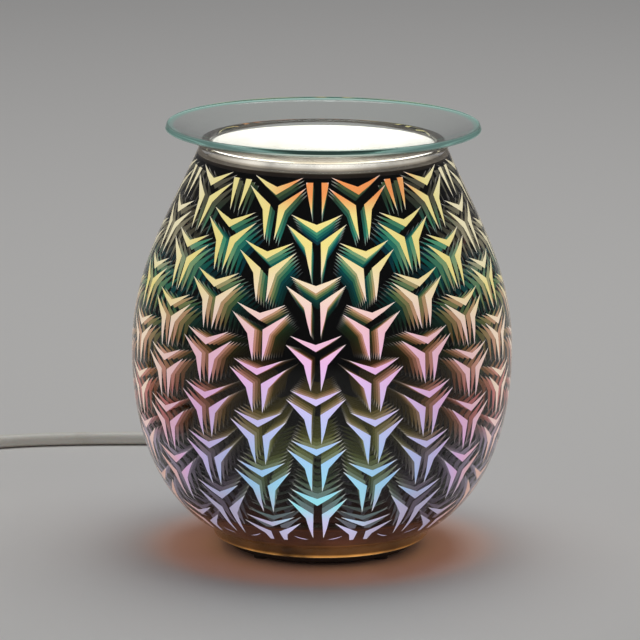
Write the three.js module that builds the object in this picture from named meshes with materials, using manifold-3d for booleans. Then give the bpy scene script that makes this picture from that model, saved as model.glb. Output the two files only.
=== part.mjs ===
// Electric oil burner: an egg-shaped glass jar clamped on a plastic base, a glass dish that lies on
// its mouth, a twist-lock reflector lamp inside, and a mains cord with an in-line rocker switch, a
// coil of spare length and a three-pin plug with a fuse drawer.
// Millimetres, +Z up. The origin is the middle of the circle that the rubber feet stand on, at the
// height of the surface under them. The cord leaves at +Y, behind the object.
import * as THREE from "three";
import { mergeVertices } from "three/addons/utils/BufferGeometryUtils.js";
import Module from "manifold-3d";

const wasm = await Module();
wasm.setup();

// Gap that seated pieces keep, and steps round turned pieces
const FIT = 0.3;
const LARGE_STEPS = 32;
const MEDIUM_STEPS = 16;
const SMALL_STEPS = 8;
const MERGE_WITHIN = 1e-4;

// Jar, measured up from its own underside
const JAR_HEIGHT = 140.2;
const JAR_WALL = 3.5;
const JAR_STAND_R = 33.2;
const JAR_FOOT_R = 37.9;
const JAR_FOOT_ROUND = 2;
const JAR_FOOT_HEIGHT = 4.6;
const JAR_BELLY_R = 66.4;
const JAR_BELLY_HEIGHT = 67;
const JAR_LIP_R = 42.9;
const JAR_FLOOR = 9.7;
const FOOT_FLARE_ANGLE = 0.46;
const FOOT_FLARE = 19.3;
const BELLY_PULL_DOWN = 32.2;
const BELLY_PULL_UP = 29;
const NECK_PULL = 27.8;
const NECK_ANGLE = 0.41;
const JAR_CURVE_STEPS = 6;
const LIP_STEPS = 4;

// Dish
const DISH_RIM_R = 54.6;
const DISH_CURVE_R = 145;
const DISH_WALL = 2.2;
const DISH_CURVE_STEPS = 5;

// Base: rubber feet, housing, cover, gasket and clamp ring
const FOOT_R = 2.6;
const FOOT_THICK = 1.2;
const FOOT_COUNT = 4;
const HOUSING_R = 28.7;
const HOUSING_WALL = 2.4;
const HOUSING_HEIGHT = 18.4;
const HOUSING_TOP_THICK = 2;
const FLANGE_R = 32.2;
const FLANGE_THICK = 1.3;
const COVER_THICK = 2;
const COVER_SCREW_COUNT = 3;
const COVER_SCREW_INSET = 5.8;
const COVER_VENT_COUNT = 8;
const COVER_VENT_RING_R = 11;
const COVER_VENT_LENGTH = 7;
const COVER_VENT_WIDTH = 1.6;
const BOSS_WALL = 1.8;
const GASKET_WIDTH = 6;
const GASKET_THICK = 0.8;
const CLAMP_RING_WIDTH = 7;
const CLAMP_RING_THICK = 4;
const CLAMP_GRIP_COUNT = 8;
const CLAMP_GRIP_R = 2;

// Screws: head radius and thickness, shank radius, and depth and width of the driver's slot
const HEAD_R = 2.6;
const HEAD_THICK = 1.1;
const SHANK_R = 1.25;
const DRIVER_DEPTH = 0.5;
const DRIVER_WIDTH = 0.9;
const COVER_SCREW_LENGTH = 9;
const CLAMP_SCREW_LENGTH = 8;
const BRACKET_SCREW_LENGTH = 7;
const SWITCH_SCREW_LENGTH = 8;

// Cord, its strain relief and its clamp inside the base
const CORD_R = 2.5;
const CORD_SIDES = 8;
const CORD_STEP = 12;
const CORD_EXIT_Z = 6;
const BOOT_R = 4.3;
const BOOT_TIP_R = 3.1;
const BOOT_NECK_R = 3.3;
const BOOT_COLLAR_THICK = 1.8;
const BOOT_LENGTH = 31;
const FREE_DROP_LENGTH = 36;
const CORD_CLAMP_Y = 8;
const CORD_CLAMP_SCREW_X = 7.5;
const CORD_CLAMP_THICK = 2.2;
const CORD_CLAMP_WIDTH = 7.5;
const CORD_RIB_THICK = 3;
const SHEATH_END_Y = 3;

// Terminal block and the insulated wires
const TERMINAL_WIDTH = 20;
const TERMINAL_DEPTH = 12;
const TERMINAL_HEIGHT = 9;
const TERMINAL_Y = -8.5;
const TERMINAL_POLE_X = 5;
const TERMINAL_TUNNEL_DROP = 5.5;
const GRUB_R = 1.4;
const WIRE_R = 1.1;
const WIRE_SIDES = 8;
const WIRE_STEP = 3;
const WIRE_HOLE_X = 5.5;
const WIRE_HOLE_Y = -18;

// Lamp holder on its bracket
const BRACKET_THICK = 1.2;
const BRACKET_RISE = 5;
const BRACKET_TOP_X = 15;
const BRACKET_FOOT_X = 23;
const BRACKET_WIDTH = 14;
const BRACKET_SCREW_X = 19.5;
const BRACKET_WINDOW_X = 8;
const BRACKET_WINDOW_Y = 4;
const HOLDER_LENGTH = 30;
const HOLDER_WIDTH = 18;
const HOLDER_CORNER = 4;
const HOLDER_HEIGHT = 16;
const HOLDER_LID = 3;
const HOLDER_SCREW_X = 12;
const HOLDER_SCREW_SUNK = 3;
const HOLDER_SCREW_LENGTH = 15.5;
const HOLDER_POCKET_X = 9;
const HOLDER_POCKET_Y = 5.5;
const HOLDER_POCKET_HEIGHT = 4.6;
const CONTACT_R = 1.2;
const CONTACT_TAIL = 3.5;

// Lamp: two pins with heads that lock in arc-shaped slots
const PIN_RING_R = 5;
const PIN_HEAD_R = 2.5;
const PIN_HEAD_HEIGHT = 2.6;
const PIN_NECK_R = 1.6;
const PIN_SUNK = 4;
const LOCK_ANGLE = Math.PI / 6;
const CAP_R = 12.5;
const CAP_SHOULDER_R = 14.5;
const CAP_SHOULDER_HEIGHT = 9;
const CAP_HEIGHT = 16;
const REFLECTOR_R = 25;
const REFLECTOR_HEIGHT = 30;
const REFLECTOR_WALL = 1.5;
const REFLECTOR_HOLE_R = 5.3;
const REFLECTOR_STEPS = 5;
const LENS_THICK = 1.8;
const LENS_SUNK = 0.8;
const CAPSULE_R = 5.5;
const CAPSULE_HEIGHT = 19;
const CAPSULE_STEM_R = 4.6;
const CAPSULE_STEM_HEIGHT = 5;

// In-line rocker switch, along the cord
const SWITCH_LENGTH = 62;
const SWITCH_WIDTH = 24;
const SWITCH_CORNER = 8;
const SWITCH_LOWER_HEIGHT = 7;
const SWITCH_UPPER_HEIGHT = 9.7;
const SWITCH_WALL = 2;
const SWITCH_SCREW_X = 20;
const SWITCH_SCREW_Y = 5.5;
const ROCKER_LENGTH = 13.8;
const ROCKER_WIDTH = 8.4;
const ROCKER_PIVOT_DROP = 3.6;
const ROCKER_RISE = 5.2;
const ROCKER_DIP = 1.6;
const ROCKER_KEEL = 4.4;
const ROCKER_BOW = 0.8;
const ROCKER_TILT = (8 * Math.PI) / 180;
const TRUNNION_R = 1.2;
const TRUNNION_LENGTH = 1.8;
const TRUNNION_BLOCK_WALL = 1.6;
const SWITCH_STRIP_LENGTH = 30;
const SWITCH_STRIP_WIDTH = 5;
const SWITCH_STRIP_THICK = 0.8;
const SWITCH_TONGUE_RISE = 2;

// Coil of spare cord
const COIL_MID_R = 29.8;
const COIL_PITCH = 5.5;
const COIL_TURNS = 5.5;
const COIL_SIDES = 6;
const COIL_LOOP_STEPS = 24;
const TIE_THICK = 0.8;
const TIE_WIDTH = 4;
const TIE_FIT = 0.5;

// Three-pin plug, lying on its back
const PLUG_WIDTH = 48;
const PLUG_HEIGHT = 50;
const PLUG_CORNER = 7;
const PLUG_BEVEL = 2;
const PLUG_THICK = 22;
const PLUG_CORD_Z = 10;
const PLUG_BOOT_LENGTH = 22;
const PLUG_BOOT_R = 5.2;
const PLUG_BOOT_TIP_R = 3.5;
const PLUG_EARTH_Y = 12;
const PLUG_PIN_DROP = 22.2;
const PLUG_PIN_X = 11.1;
const PLUG_PIN_SUNK = 6;
const EARTH_PIN = [4, 8, 22.7];
const FLAT_PIN = [6.35, 4, 17.7];
const PIN_BEVEL = 0.8;
const DRAWER_LENGTH = 27.8;
const DRAWER_WIDTH = 7.8;
const DRAWER_THICK = 2;
const DRAWER_TAB_THICK = 0.9;
const DRAWER_TAB_HEIGHT = 8;
const FUSE_R = 3.15;
const FUSE_LENGTH = 25.4;

// Places that follow from the sizes above
const BASE_Z = FOOT_THICK;
const HOUSING_TOP_Z = BASE_Z + HOUSING_HEIGHT;
const PLATE_UNDER_Z = HOUSING_TOP_Z - HOUSING_TOP_THICK;
const HOUSING_INNER_R = HOUSING_R - HOUSING_WALL;
const COVER_SCREW_RING_R = HOUSING_INNER_R - COVER_SCREW_INSET;
const JAR_Z = BASE_Z + FLANGE_THICK + FIT;
const JAR_BORE_R = HOUSING_R + FIT;
const JAR_LIP_ROUND = JAR_WALL / 2;
const COVER_TOP_Z = BASE_Z + COVER_THICK;
const CORD_CLAMP_Z = COVER_TOP_Z + CORD_CLAMP_THICK + 2 * FIT + CORD_R;
const GASKET_Z = JAR_Z + JAR_FLOOR + FIT;
const CLAMP_RING_Z = GASKET_Z + GASKET_THICK + FIT;
const BRACKET_Z = HOUSING_TOP_Z + FIT;
const HOLDER_Z = BRACKET_Z + BRACKET_RISE + BRACKET_THICK + FIT;
const HOLDER_TOP_Z = HOLDER_Z + HOLDER_HEIGHT;
const LAMP_Z = HOLDER_TOP_Z + FIT;
const CHAMBER_TOP_Z = HOLDER_TOP_Z - HOLDER_LID;
const PIN_HEAD_Z = CHAMBER_TOP_Z - FIT - PIN_HEAD_HEIGHT;
const CHAMBER_Z = PIN_HEAD_Z - 2 * FIT;
const REFLECTOR_Z = LAMP_Z + CAP_HEIGHT + FIT;
const TERMINAL_Z = PLATE_UNDER_Z - FIT - TERMINAL_HEIGHT;
const TUNNEL_Z = TERMINAL_Z + TERMINAL_HEIGHT - TERMINAL_TUNNEL_DROP;
const COLLAR_R = BOOT_R + FIT;
const COLLAR_FACE_Y = Math.sqrt(HOUSING_INNER_R ** 2 - COLLAR_R ** 2) - FIT;
const COLLAR_BACK_Y = COLLAR_FACE_Y - BOOT_COLLAR_THICK;
const BOOT_END_Y = HOUSING_R + FIT + BOOT_LENGTH;
const SWITCH_CORD_Z = SWITCH_LOWER_HEIGHT + FIT / 2;
const COIL_OUTER_R = COIL_MID_R + (COIL_PITCH * COIL_TURNS) / 4;
const COIL_Z = TIE_THICK + FIT + CORD_R;
const COIL_TOP_Z = COIL_Z + COIL_PITCH;

// Where the switch, the coil and the plug lie, beyond the left edge of the picture
const SWITCH_AT = [-147.9, 59];
const SWITCH_FAR_Y = SWITCH_AT[1] + SWITCH_LENGTH / 2 + FIT;
const SWITCH_NEAR_Y = SWITCH_AT[1] - SWITCH_LENGTH / 2 - FIT;
const COIL_AT = [SWITCH_AT[0] - COIL_OUTER_R, -12];
const COIL_END_Y = COIL_AT[1] + 2 * CORD_R + FIT;
const TAIL_X = COIL_AT[0] - COIL_OUTER_R;
const TAIL_LOW_Z = CORD_R + 0.7;
const PLUG_AT = [TAIL_X, 96];
const PLUG_CORD_Y = PLUG_AT[1] - PLUG_HEIGHT / 2 - PLUG_BOOT_LENGTH - FIT;
const TAIL_LOW_Y = (COIL_END_Y + PLUG_CORD_Y) / 2 - 1;

// Points of a stretch of cord that eases from one height to another along Y.
function eased(x, fromY, toY, fromZ, toZ) {
  return [0, 0.2, 0.4, 0.6, 0.8, 1].map((t) => [
    x,
    fromY + (toY - fromY) * t,
    fromZ + (toZ - fromZ) * t * t * (3 - 2 * t),
  ]);
}

// Route of the cord from its strain relief to the switch: its loose lie on the floor is chosen by hand
const RUN_ROUTE = [
  ...eased(0, BOOT_END_Y + FIT, BOOT_END_Y + FREE_DROP_LENGTH, CORD_EXIT_Z, CORD_R),
  [-2.2, 108.7, CORD_R],
  [-7.2, 120.5, CORD_R],
  [-15, 130.6, CORD_R],
  [-25, 138.4, CORD_R],
  [-36.6, 143.3, CORD_R],
  [-49, 145, CORD_R],
  [-62, 145.2, CORD_R],
  [-75, 145, CORD_R],
  [-88, 144.3, CORD_R],
  [-101, 142.9, CORD_R],
  [-112, 140.9, CORD_R],
  [-122, 138, CORD_R],
  [-131.9, 134.3, CORD_R],
  [-140.4, 127.2, CORD_R + 0.2],
  [-146, 117.5, CORD_R + 1.2],
  [SWITCH_AT[0], SWITCH_FAR_Y + 16.7, SWITCH_CORD_Z - 1.55],
  [SWITCH_AT[0], SWITCH_FAR_Y + 8.7, SWITCH_CORD_Z - 0.25],
  [SWITCH_AT[0], SWITCH_FAR_Y + 3.7, SWITCH_CORD_Z],
  [SWITCH_AT[0], SWITCH_FAR_Y, SWITCH_CORD_Z],
];

// Route from the switch down to the coil
const LINK_ROUTE = eased(SWITCH_AT[0], SWITCH_NEAR_Y, COIL_END_Y, SWITCH_CORD_Z, COIL_Z);

// Route from the top of the coil down to the floor and up to the plug
const TAIL_ROUTE = [
  ...eased(TAIL_X, COIL_END_Y, TAIL_LOW_Y, COIL_TOP_Z, TAIL_LOW_Z),
  ...eased(TAIL_X, TAIL_LOW_Y, PLUG_CORD_Y, TAIL_LOW_Z, PLUG_CORD_Z).slice(1),
];

// Colours, roughness and metalness
const LOOKS = {
  jarGlass: { color: 0x2a2430, roughness: 0.05, metalness: 0.6, transparent: true, opacity: 0.8 },
  clearGlass: { color: 0xcfe6dd, roughness: 0.03, metalness: 0, transparent: true, opacity: 0.35 },
  blackPlastic: { color: 0x17171a, roughness: 0.55, metalness: 0 },
  whitePlastic: { color: 0xe8e6e0, roughness: 0.4, metalness: 0 },
  rubber: { color: 0x1c1c1c, roughness: 0.9, metalness: 0 },
  silicone: { color: 0xb9b3a8, roughness: 0.7, metalness: 0 },
  steel: { color: 0xa9adb2, roughness: 0.35, metalness: 1 },
  brass: { color: 0xc9a24d, roughness: 0.3, metalness: 1 },
  ceramic: { color: 0xf0ede4, roughness: 0.3, metalness: 0 },
  mirror: { color: 0xd8dade, roughness: 0.1, metalness: 1 },
  cordSheath: { color: 0xe3ded4, roughness: 0.4, metalness: 0 },
  brownWire: { color: 0x6b3a1e, roughness: 0.5, metalness: 0 },
  blueWire: { color: 0x1d5fb0, roughness: 0.5, metalness: 0 },
};

const burner = new THREE.Group();

function add(name, geometry, look, parent = burner) {
  const mesh = new THREE.Mesh(geometry, new THREE.MeshStandardMaterial(LOOKS[look]));
  mesh.name = name;
  parent.add(mesh);
  return mesh;
}

// A closed geometry as a solid that can be joined and cut.
function solidOf(geometry) {
  const bare = geometry.clone();
  bare.deleteAttribute("normal");
  bare.deleteAttribute("uv");
  const merged = mergeVertices(bare, MERGE_WITHIN);
  const mesh = new wasm.Mesh({
    numProp: 3,
    vertProperties: merged.attributes.position.array,
    triVerts: new Uint32Array(merged.index.array),
  });
  return new wasm.Manifold(mesh);
}

function geometryOf(solid) {
  const mesh = solid.getMesh();
  const geometry = new THREE.BufferGeometry();
  geometry.setAttribute("position", new THREE.BufferAttribute(mesh.vertProperties, mesh.numProp));
  geometry.setIndex(new THREE.BufferAttribute(mesh.triVerts, 1));
  return geometry;
}

function joined(first, ...others) {
  return geometryOf(others.reduce((sum, other) => sum.add(solidOf(other)), solidOf(first)));
}

function cut(geometry, ...tools) {
  return geometryOf(tools.reduce((left, tool) => left.subtract(solidOf(tool)), solidOf(geometry)));
}

// A profile of [radius, height] points, from its bottom round its outside to its top, turned
// round Z.
function turned(profile, steps = LARGE_STEPS) {
  const points = profile.map(([r, z]) => new THREE.Vector2(r, z));
  return new THREE.LatheGeometry(points, steps).rotateX(Math.PI / 2);
}

function rod(radius, low, high, x = 0, y = 0, steps = SMALL_STEPS) {
  const profile = [
    [0, low],
    [radius, low],
    [radius, high],
    [0, high],
  ];
  return turned(profile, steps).translate(x, y, 0);
}

function ring(inner, outer, low, high, steps = LARGE_STEPS) {
  const profile = [
    [inner, low],
    [outer, low],
    [outer, high],
    [inner, high],
    [inner, low],
  ];
  return turned(profile, steps);
}

// A box from its middle in X and Y, and its lowest and highest Z.
function block(width, depth, low, high, x = 0, y = 0) {
  return new THREE.BoxGeometry(width, depth, high - low).translate(x, y, (low + high) / 2);
}

function roundedOutline(width, depth, corner) {
  const x = width / 2 - corner;
  const y = depth / 2 - corner;
  const outline = new THREE.Shape();
  outline.absarc(x, y, corner, 0, Math.PI / 2);
  outline.absarc(-x, y, corner, Math.PI / 2, Math.PI);
  outline.absarc(-x, -y, corner, Math.PI, 1.5 * Math.PI);
  outline.absarc(x, -y, corner, 1.5 * Math.PI, 2 * Math.PI);
  return outline;
}

function roundedBlock(width, depth, corner, low, high) {
  const options = { depth: high - low, bevelEnabled: false, curveSegments: 4 };
  const outline = roundedOutline(width, depth, corner);
  return new THREE.ExtrudeGeometry(outline, options).translate(0, 0, low);
}

// A slot whose middle line is an arc round Z, with round ends.
function arcSlot(ringR, halfWidth, from, to, low, high) {
  const outline = new THREE.Shape();
  const endAt = (angle) => [ringR * Math.cos(angle), ringR * Math.sin(angle)];
  outline.absarc(0, 0, ringR + halfWidth, from, to);
  outline.absarc(...endAt(to), halfWidth, to, to + Math.PI);
  outline.absarc(0, 0, ringR - halfWidth, to, from, true);
  outline.absarc(...endAt(from), halfWidth, from + Math.PI, from + 2 * Math.PI);
  const options = { depth: high - low, bevelEnabled: false, curveSegments: 4 };
  return new THREE.ExtrudeGeometry(outline, options).translate(0, 0, low);
}

// A slot along Y, open downwards, with a half-round top on the cord's axis.
function cordNotch(halfWidth, fromY, toY) {
  const outline = new THREE.Shape();
  outline.moveTo(-halfWidth, -CORD_EXIT_Z);
  outline.lineTo(halfWidth, -CORD_EXIT_Z);
  outline.absarc(0, 0, halfWidth, 0, Math.PI);
  const options = { depth: toY - fromY, bevelEnabled: false, curveSegments: 8 };
  return new THREE.ExtrudeGeometry(outline, options)
    .rotateX(Math.PI / 2)
    .translate(0, toY, CORD_EXIT_Z);
}

// A tube of flat sides along a smooth curve through the points.
function tube(points, radius, sides, step) {
  const curve = new THREE.CatmullRomCurve3(points.map((p) => new THREE.Vector3(...p)));
  const section = new THREE.Shape();
  for (let i = 0; i < sides; i += 1) {
    const angle = (2 * Math.PI * i) / sides;
    const corner = [radius * Math.cos(angle), radius * Math.sin(angle)];
    if (i === 0) section.moveTo(...corner);
    else section.lineTo(...corner);
  }
  const steps = Math.max(4, Math.round(curve.getLength() / step));
  return new THREE.ExtrudeGeometry(section, { steps, bevelEnabled: false, extrudePath: curve });
}

// A screw that points down, with its head on Z from 0 to its thickness.
function screw(length) {
  const profile = [
    [0, -length],
    [SHANK_R, -length],
    [SHANK_R, 0],
    [HEAD_R, 0],
    [HEAD_R, HEAD_THICK],
    [0, HEAD_THICK],
  ];
  const slot = block(2 * HEAD_R + 1, DRIVER_WIDTH, HEAD_THICK - DRIVER_DEPTH, HEAD_THICK + 1);
  return cut(turned(profile, SMALL_STEPS), slot);
}

function onRing(radius, index, count, startAngle) {
  const angle = startAngle + (2 * Math.PI * index) / count;
  return [radius * Math.cos(angle), radius * Math.sin(angle), angle];
}

// Outside of the jar from the top of its foot to its lip, as points with their outward normals.
function jarCurve() {
  const lipHeight = JAR_HEIGHT - JAR_LIP_ROUND * (1 - Math.sin(NECK_ANGLE));
  const lower = new THREE.CubicBezierCurve(
    new THREE.Vector2(JAR_FOOT_R, JAR_FOOT_HEIGHT),
    new THREE.Vector2(
      JAR_FOOT_R + FOOT_FLARE * Math.cos(FOOT_FLARE_ANGLE),
      JAR_FOOT_HEIGHT + FOOT_FLARE * Math.sin(FOOT_FLARE_ANGLE),
    ),
    new THREE.Vector2(JAR_BELLY_R, JAR_BELLY_HEIGHT - BELLY_PULL_DOWN),
    new THREE.Vector2(JAR_BELLY_R, JAR_BELLY_HEIGHT),
  );
  const upper = new THREE.CubicBezierCurve(
    new THREE.Vector2(JAR_BELLY_R, JAR_BELLY_HEIGHT),
    new THREE.Vector2(JAR_BELLY_R, JAR_BELLY_HEIGHT + BELLY_PULL_UP),
    new THREE.Vector2(
      JAR_LIP_R + NECK_PULL * Math.sin(NECK_ANGLE),
      lipHeight - NECK_PULL * Math.cos(NECK_ANGLE),
    ),
    new THREE.Vector2(JAR_LIP_R, lipHeight),
  );
  const samples = [];
  for (const curve of [lower, upper]) {
    for (let i = curve === lower ? 0 : 1; i <= JAR_CURVE_STEPS; i += 1) {
      const t = i / JAR_CURVE_STEPS;
      const along = curve.getTangent(t);
      samples.push({ at: curve.getPoint(t), out: new THREE.Vector2(along.y, -along.x) });
    }
  }
  return samples;
}

// Middle of the half-round lip, from the last sample of the jar's outside.
function lipMiddle(samples) {
  const { at, out } = samples.at(-1);
  return at.clone().addScaledVector(out, -JAR_LIP_ROUND);
}

// Inside of the jar from its lip down to its thick floor.
function jarInside(samples) {
  const inside = samples.map(({ at, out }) => [at.x - out.x * JAR_WALL, at.y - out.y * JAR_WALL]);
  inside.reverse();
  const below = inside.findIndex(([, z]) => z <= JAR_FLOOR + JAR_WALL / 2);
  const [r1, z1] = inside[below - 1];
  const [r2, z2] = inside[below];
  const share = (z1 - JAR_FLOOR) / (z1 - z2);
  const floorR = r1 + (r2 - r1) * share;
  return [...inside.slice(0, below), [floorR, JAR_FLOOR]];
}

function glassJar() {
  const samples = jarCurve();
  const outside = samples.map(({ at }) => [at.x, at.y]);
  const lip = [];
  const middle = lipMiddle(samples);
  const startAngle = samples.at(-1).out.angle();
  for (let i = 1; i < LIP_STEPS; i += 1) {
    const angle = startAngle + (Math.PI * i) / LIP_STEPS;
    const [across, up] = [JAR_LIP_ROUND * Math.cos(angle), JAR_LIP_ROUND * Math.sin(angle)];
    lip.push([middle.x + across, middle.y + up]);
  }
  const profile = [
    [JAR_BORE_R, 0],
    [JAR_STAND_R, 0],
    [JAR_FOOT_R - JAR_FOOT_ROUND / 3, JAR_FOOT_ROUND / 2],
    [JAR_FOOT_R, JAR_FOOT_ROUND],
    ...outside,
    ...lip,
    ...jarInside(samples),
    [JAR_BORE_R, JAR_FLOOR],
    [JAR_BORE_R, 0],
  ];
  const notch = cordNotch(BOOT_R + FIT, 0, JAR_BELLY_R).translate(0, 0, -JAR_Z);
  add("glass_jar", cut(turned(profile), notch), "jarGlass").position.z = JAR_Z;
}

// Height of the middle of the dish's sphere when its underside lies just clear of the lip.
function dishSphereZ() {
  const middle = lipMiddle(jarCurve());
  const reach = DISH_CURVE_R + JAR_LIP_ROUND + FIT;
  return JAR_Z + middle.y + Math.sqrt(reach ** 2 - middle.x ** 2);
}

function glassDish() {
  const edgeR = DISH_WALL / 2;
  const middleR = DISH_CURVE_R - edgeR;
  const edgeAngle = Math.asin((DISH_RIM_R - edgeR) / middleR);
  const profile = [];
  for (let i = 0; i <= DISH_CURVE_STEPS; i += 1) {
    const angle = (edgeAngle * i) / DISH_CURVE_STEPS;
    profile.push([DISH_CURVE_R * Math.sin(angle), -DISH_CURVE_R * Math.cos(angle)]);
  }
  const middle = [middleR * Math.sin(edgeAngle), -middleR * Math.cos(edgeAngle)];
  for (let i = 1; i < LIP_STEPS; i += 1) {
    const angle = edgeAngle - Math.PI / 2 + (Math.PI * i) / LIP_STEPS;
    profile.push([middle[0] + edgeR * Math.cos(angle), middle[1] + edgeR * Math.sin(angle)]);
  }
  for (let i = DISH_CURVE_STEPS; i >= 0; i -= 1) {
    const angle = (edgeAngle * i) / DISH_CURVE_STEPS;
    const topR = DISH_CURVE_R - DISH_WALL;
    profile.push([topR * Math.sin(angle), -topR * Math.cos(angle)]);
  }
  add("glass_dish", turned(profile), "clearGlass").position.z = dishSphereZ();
}

function rubberFeet() {
  const ringR = (HOUSING_INNER_R + FLANGE_R) / 2;
  for (let i = 0; i < FOOT_COUNT; i += 1) {
    const [x, y] = onRing(ringR, i, FOOT_COUNT, Math.PI / FOOT_COUNT);
    const foot = rod(FOOT_R, 0, FOOT_THICK, 0, 0, MEDIUM_STEPS);
    add(`rubber_foot_${i + 1}`, foot, "rubber").position.set(x, y, 0);
  }
}

function boss(x, y, low, radius = SHANK_R + FIT + BOSS_WALL) {
  return rod(radius, low, PLATE_UNDER_Z + HOUSING_TOP_THICK / 2, x, y);
}

function screwHole(x, y, low, high) {
  return rod(SHANK_R + FIT, low, high, x, y);
}

function coverScrewPlaces() {
  const places = [];
  for (let i = 0; i < COVER_SCREW_COUNT; i += 1) {
    places.push(onRing(COVER_SCREW_RING_R, i, COVER_SCREW_COUNT, Math.PI / 6));
  }
  return places;
}

function baseHousing() {
  const flangeTop = BASE_Z + FLANGE_THICK;
  const shell = turned([
    [0, PLATE_UNDER_Z],
    [HOUSING_INNER_R, PLATE_UNDER_Z],
    [HOUSING_INNER_R, BASE_Z],
    [FLANGE_R, BASE_Z],
    [FLANGE_R, flangeTop],
    [HOUSING_R, flangeTop],
    [HOUSING_R, HOUSING_TOP_Z],
    [0, HOUSING_TOP_Z],
  ]);
  const bossLow = COVER_TOP_Z + FIT;
  const clampLow = CORD_CLAMP_Z - CORD_R;
  const ribLow = CORD_CLAMP_Z + CORD_R + FIT;
  const ribWidth = 2 * (CORD_CLAMP_SCREW_X - SHANK_R);
  const bracketBossLow = HOUSING_TOP_Z - BRACKET_SCREW_LENGTH + FIT;
  const bosses = coverScrewPlaces().map(([x, y]) => boss(x, y, bossLow));
  const holes = coverScrewPlaces().map(([x, y]) =>
    screwHole(x, y, 0, BASE_Z + COVER_SCREW_LENGTH + HEAD_THICK + 2 * FIT),
  );
  for (const side of [-1, 1]) {
    bosses.push(boss(side * CORD_CLAMP_SCREW_X, CORD_CLAMP_Y, clampLow));
    holes.push(
      screwHole(side * CORD_CLAMP_SCREW_X, CORD_CLAMP_Y, 0, clampLow + CLAMP_SCREW_LENGTH),
    );
    bosses.push(boss(side * BRACKET_SCREW_X, 0, bracketBossLow - FIT - BOSS_WALL));
    holes.push(screwHole(side * BRACKET_SCREW_X, 0, bracketBossLow - FIT, HOUSING_TOP_Z + 1));
    const wireHole = WIRE_R + FIT;
    holes.push(
      rod(wireHole, PLATE_UNDER_Z - 1, HOUSING_TOP_Z + 1, side * WIRE_HOLE_X, WIRE_HOLE_Y),
    );
  }
  const rib = block(ribWidth, CORD_RIB_THICK, ribLow, PLATE_UNDER_Z + 1, 0, CORD_CLAMP_Y);
  const wallNotch = cordNotch(BOOT_NECK_R + FIT, HOUSING_INNER_R - HOUSING_WALL, FLANGE_R);
  const flangeNotch = cordNotch(BOOT_R + FIT, HOUSING_R, FLANGE_R + 1);
  const housing = cut(joined(shell, ...bosses, rib), ...holes, wallNotch, flangeNotch);
  add("base_housing", housing, "blackPlastic");
}

function baseCover() {
  const disc = rod(HOUSING_INNER_R - FIT, BASE_Z, COVER_TOP_Z, 0, 0, LARGE_STEPS);
  const holes = [];
  for (const [x, y] of coverScrewPlaces()) {
    holes.push(screwHole(x, y, 0, COVER_TOP_Z + 1));
    holes.push(rod(HEAD_R + FIT, 0, BASE_Z + HEAD_THICK + FIT, x, y));
  }
  for (let i = 0; i < COVER_VENT_COUNT; i += 1) {
    const [x, y, angle] = onRing(COVER_VENT_RING_R, i, COVER_VENT_COUNT, Math.PI / 8);
    const slot = block(COVER_VENT_LENGTH, COVER_VENT_WIDTH, 0, COVER_TOP_Z + 1);
    holes.push(slot.rotateZ(angle).translate(x, y, 0));
  }
  holes.push(cordNotch(COLLAR_R + FIT, COLLAR_BACK_Y - FIT, HOUSING_R));
  add("base_cover", cut(disc, ...holes), "blackPlastic");
  coverScrewPlaces().forEach(([x, y], i) => {
    const turnedOver = screw(COVER_SCREW_LENGTH).rotateX(Math.PI);
    const placed = add(`cover_screw_${i + 1}`, turnedOver, "steel");
    placed.position.set(x, y, BASE_Z + HEAD_THICK);
  });
}

function jarClamp() {
  const inner = HOUSING_R + FIT;
  const gasket = ring(inner, inner + GASKET_WIDTH, GASKET_Z, GASKET_Z + GASKET_THICK);
  add("clamp_gasket", gasket, "silicone");
  const outer = inner + CLAMP_RING_WIDTH;
  const top = CLAMP_RING_Z + CLAMP_RING_THICK;
  const grips = [];
  for (let i = 0; i < CLAMP_GRIP_COUNT; i += 1) {
    const [x, y] = onRing(outer, i, CLAMP_GRIP_COUNT, Math.PI / CLAMP_GRIP_COUNT);
    grips.push(rod(CLAMP_GRIP_R, CLAMP_RING_Z - 1, top + 1, x, y));
  }
  add("clamp_ring", cut(ring(inner, outer, CLAMP_RING_Z, top), ...grips), "blackPlastic");
}

function cordBoot() {
  const neckEnd = HOUSING_R + FIT;
  const profile = [
    [0, COLLAR_BACK_Y],
    [COLLAR_R, COLLAR_BACK_Y],
    [COLLAR_R, COLLAR_FACE_Y],
    [BOOT_NECK_R, COLLAR_FACE_Y],
    [BOOT_NECK_R, neckEnd],
    [BOOT_R, neckEnd],
    [BOOT_R, neckEnd + BOOT_R],
    [BOOT_TIP_R, BOOT_END_Y],
    [0, BOOT_END_Y],
  ];
  const boot = turned(profile, MEDIUM_STEPS).rotateX(-Math.PI / 2);
  add("cord_boot", boot, "whitePlastic").position.z = CORD_EXIT_Z;
}

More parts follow.
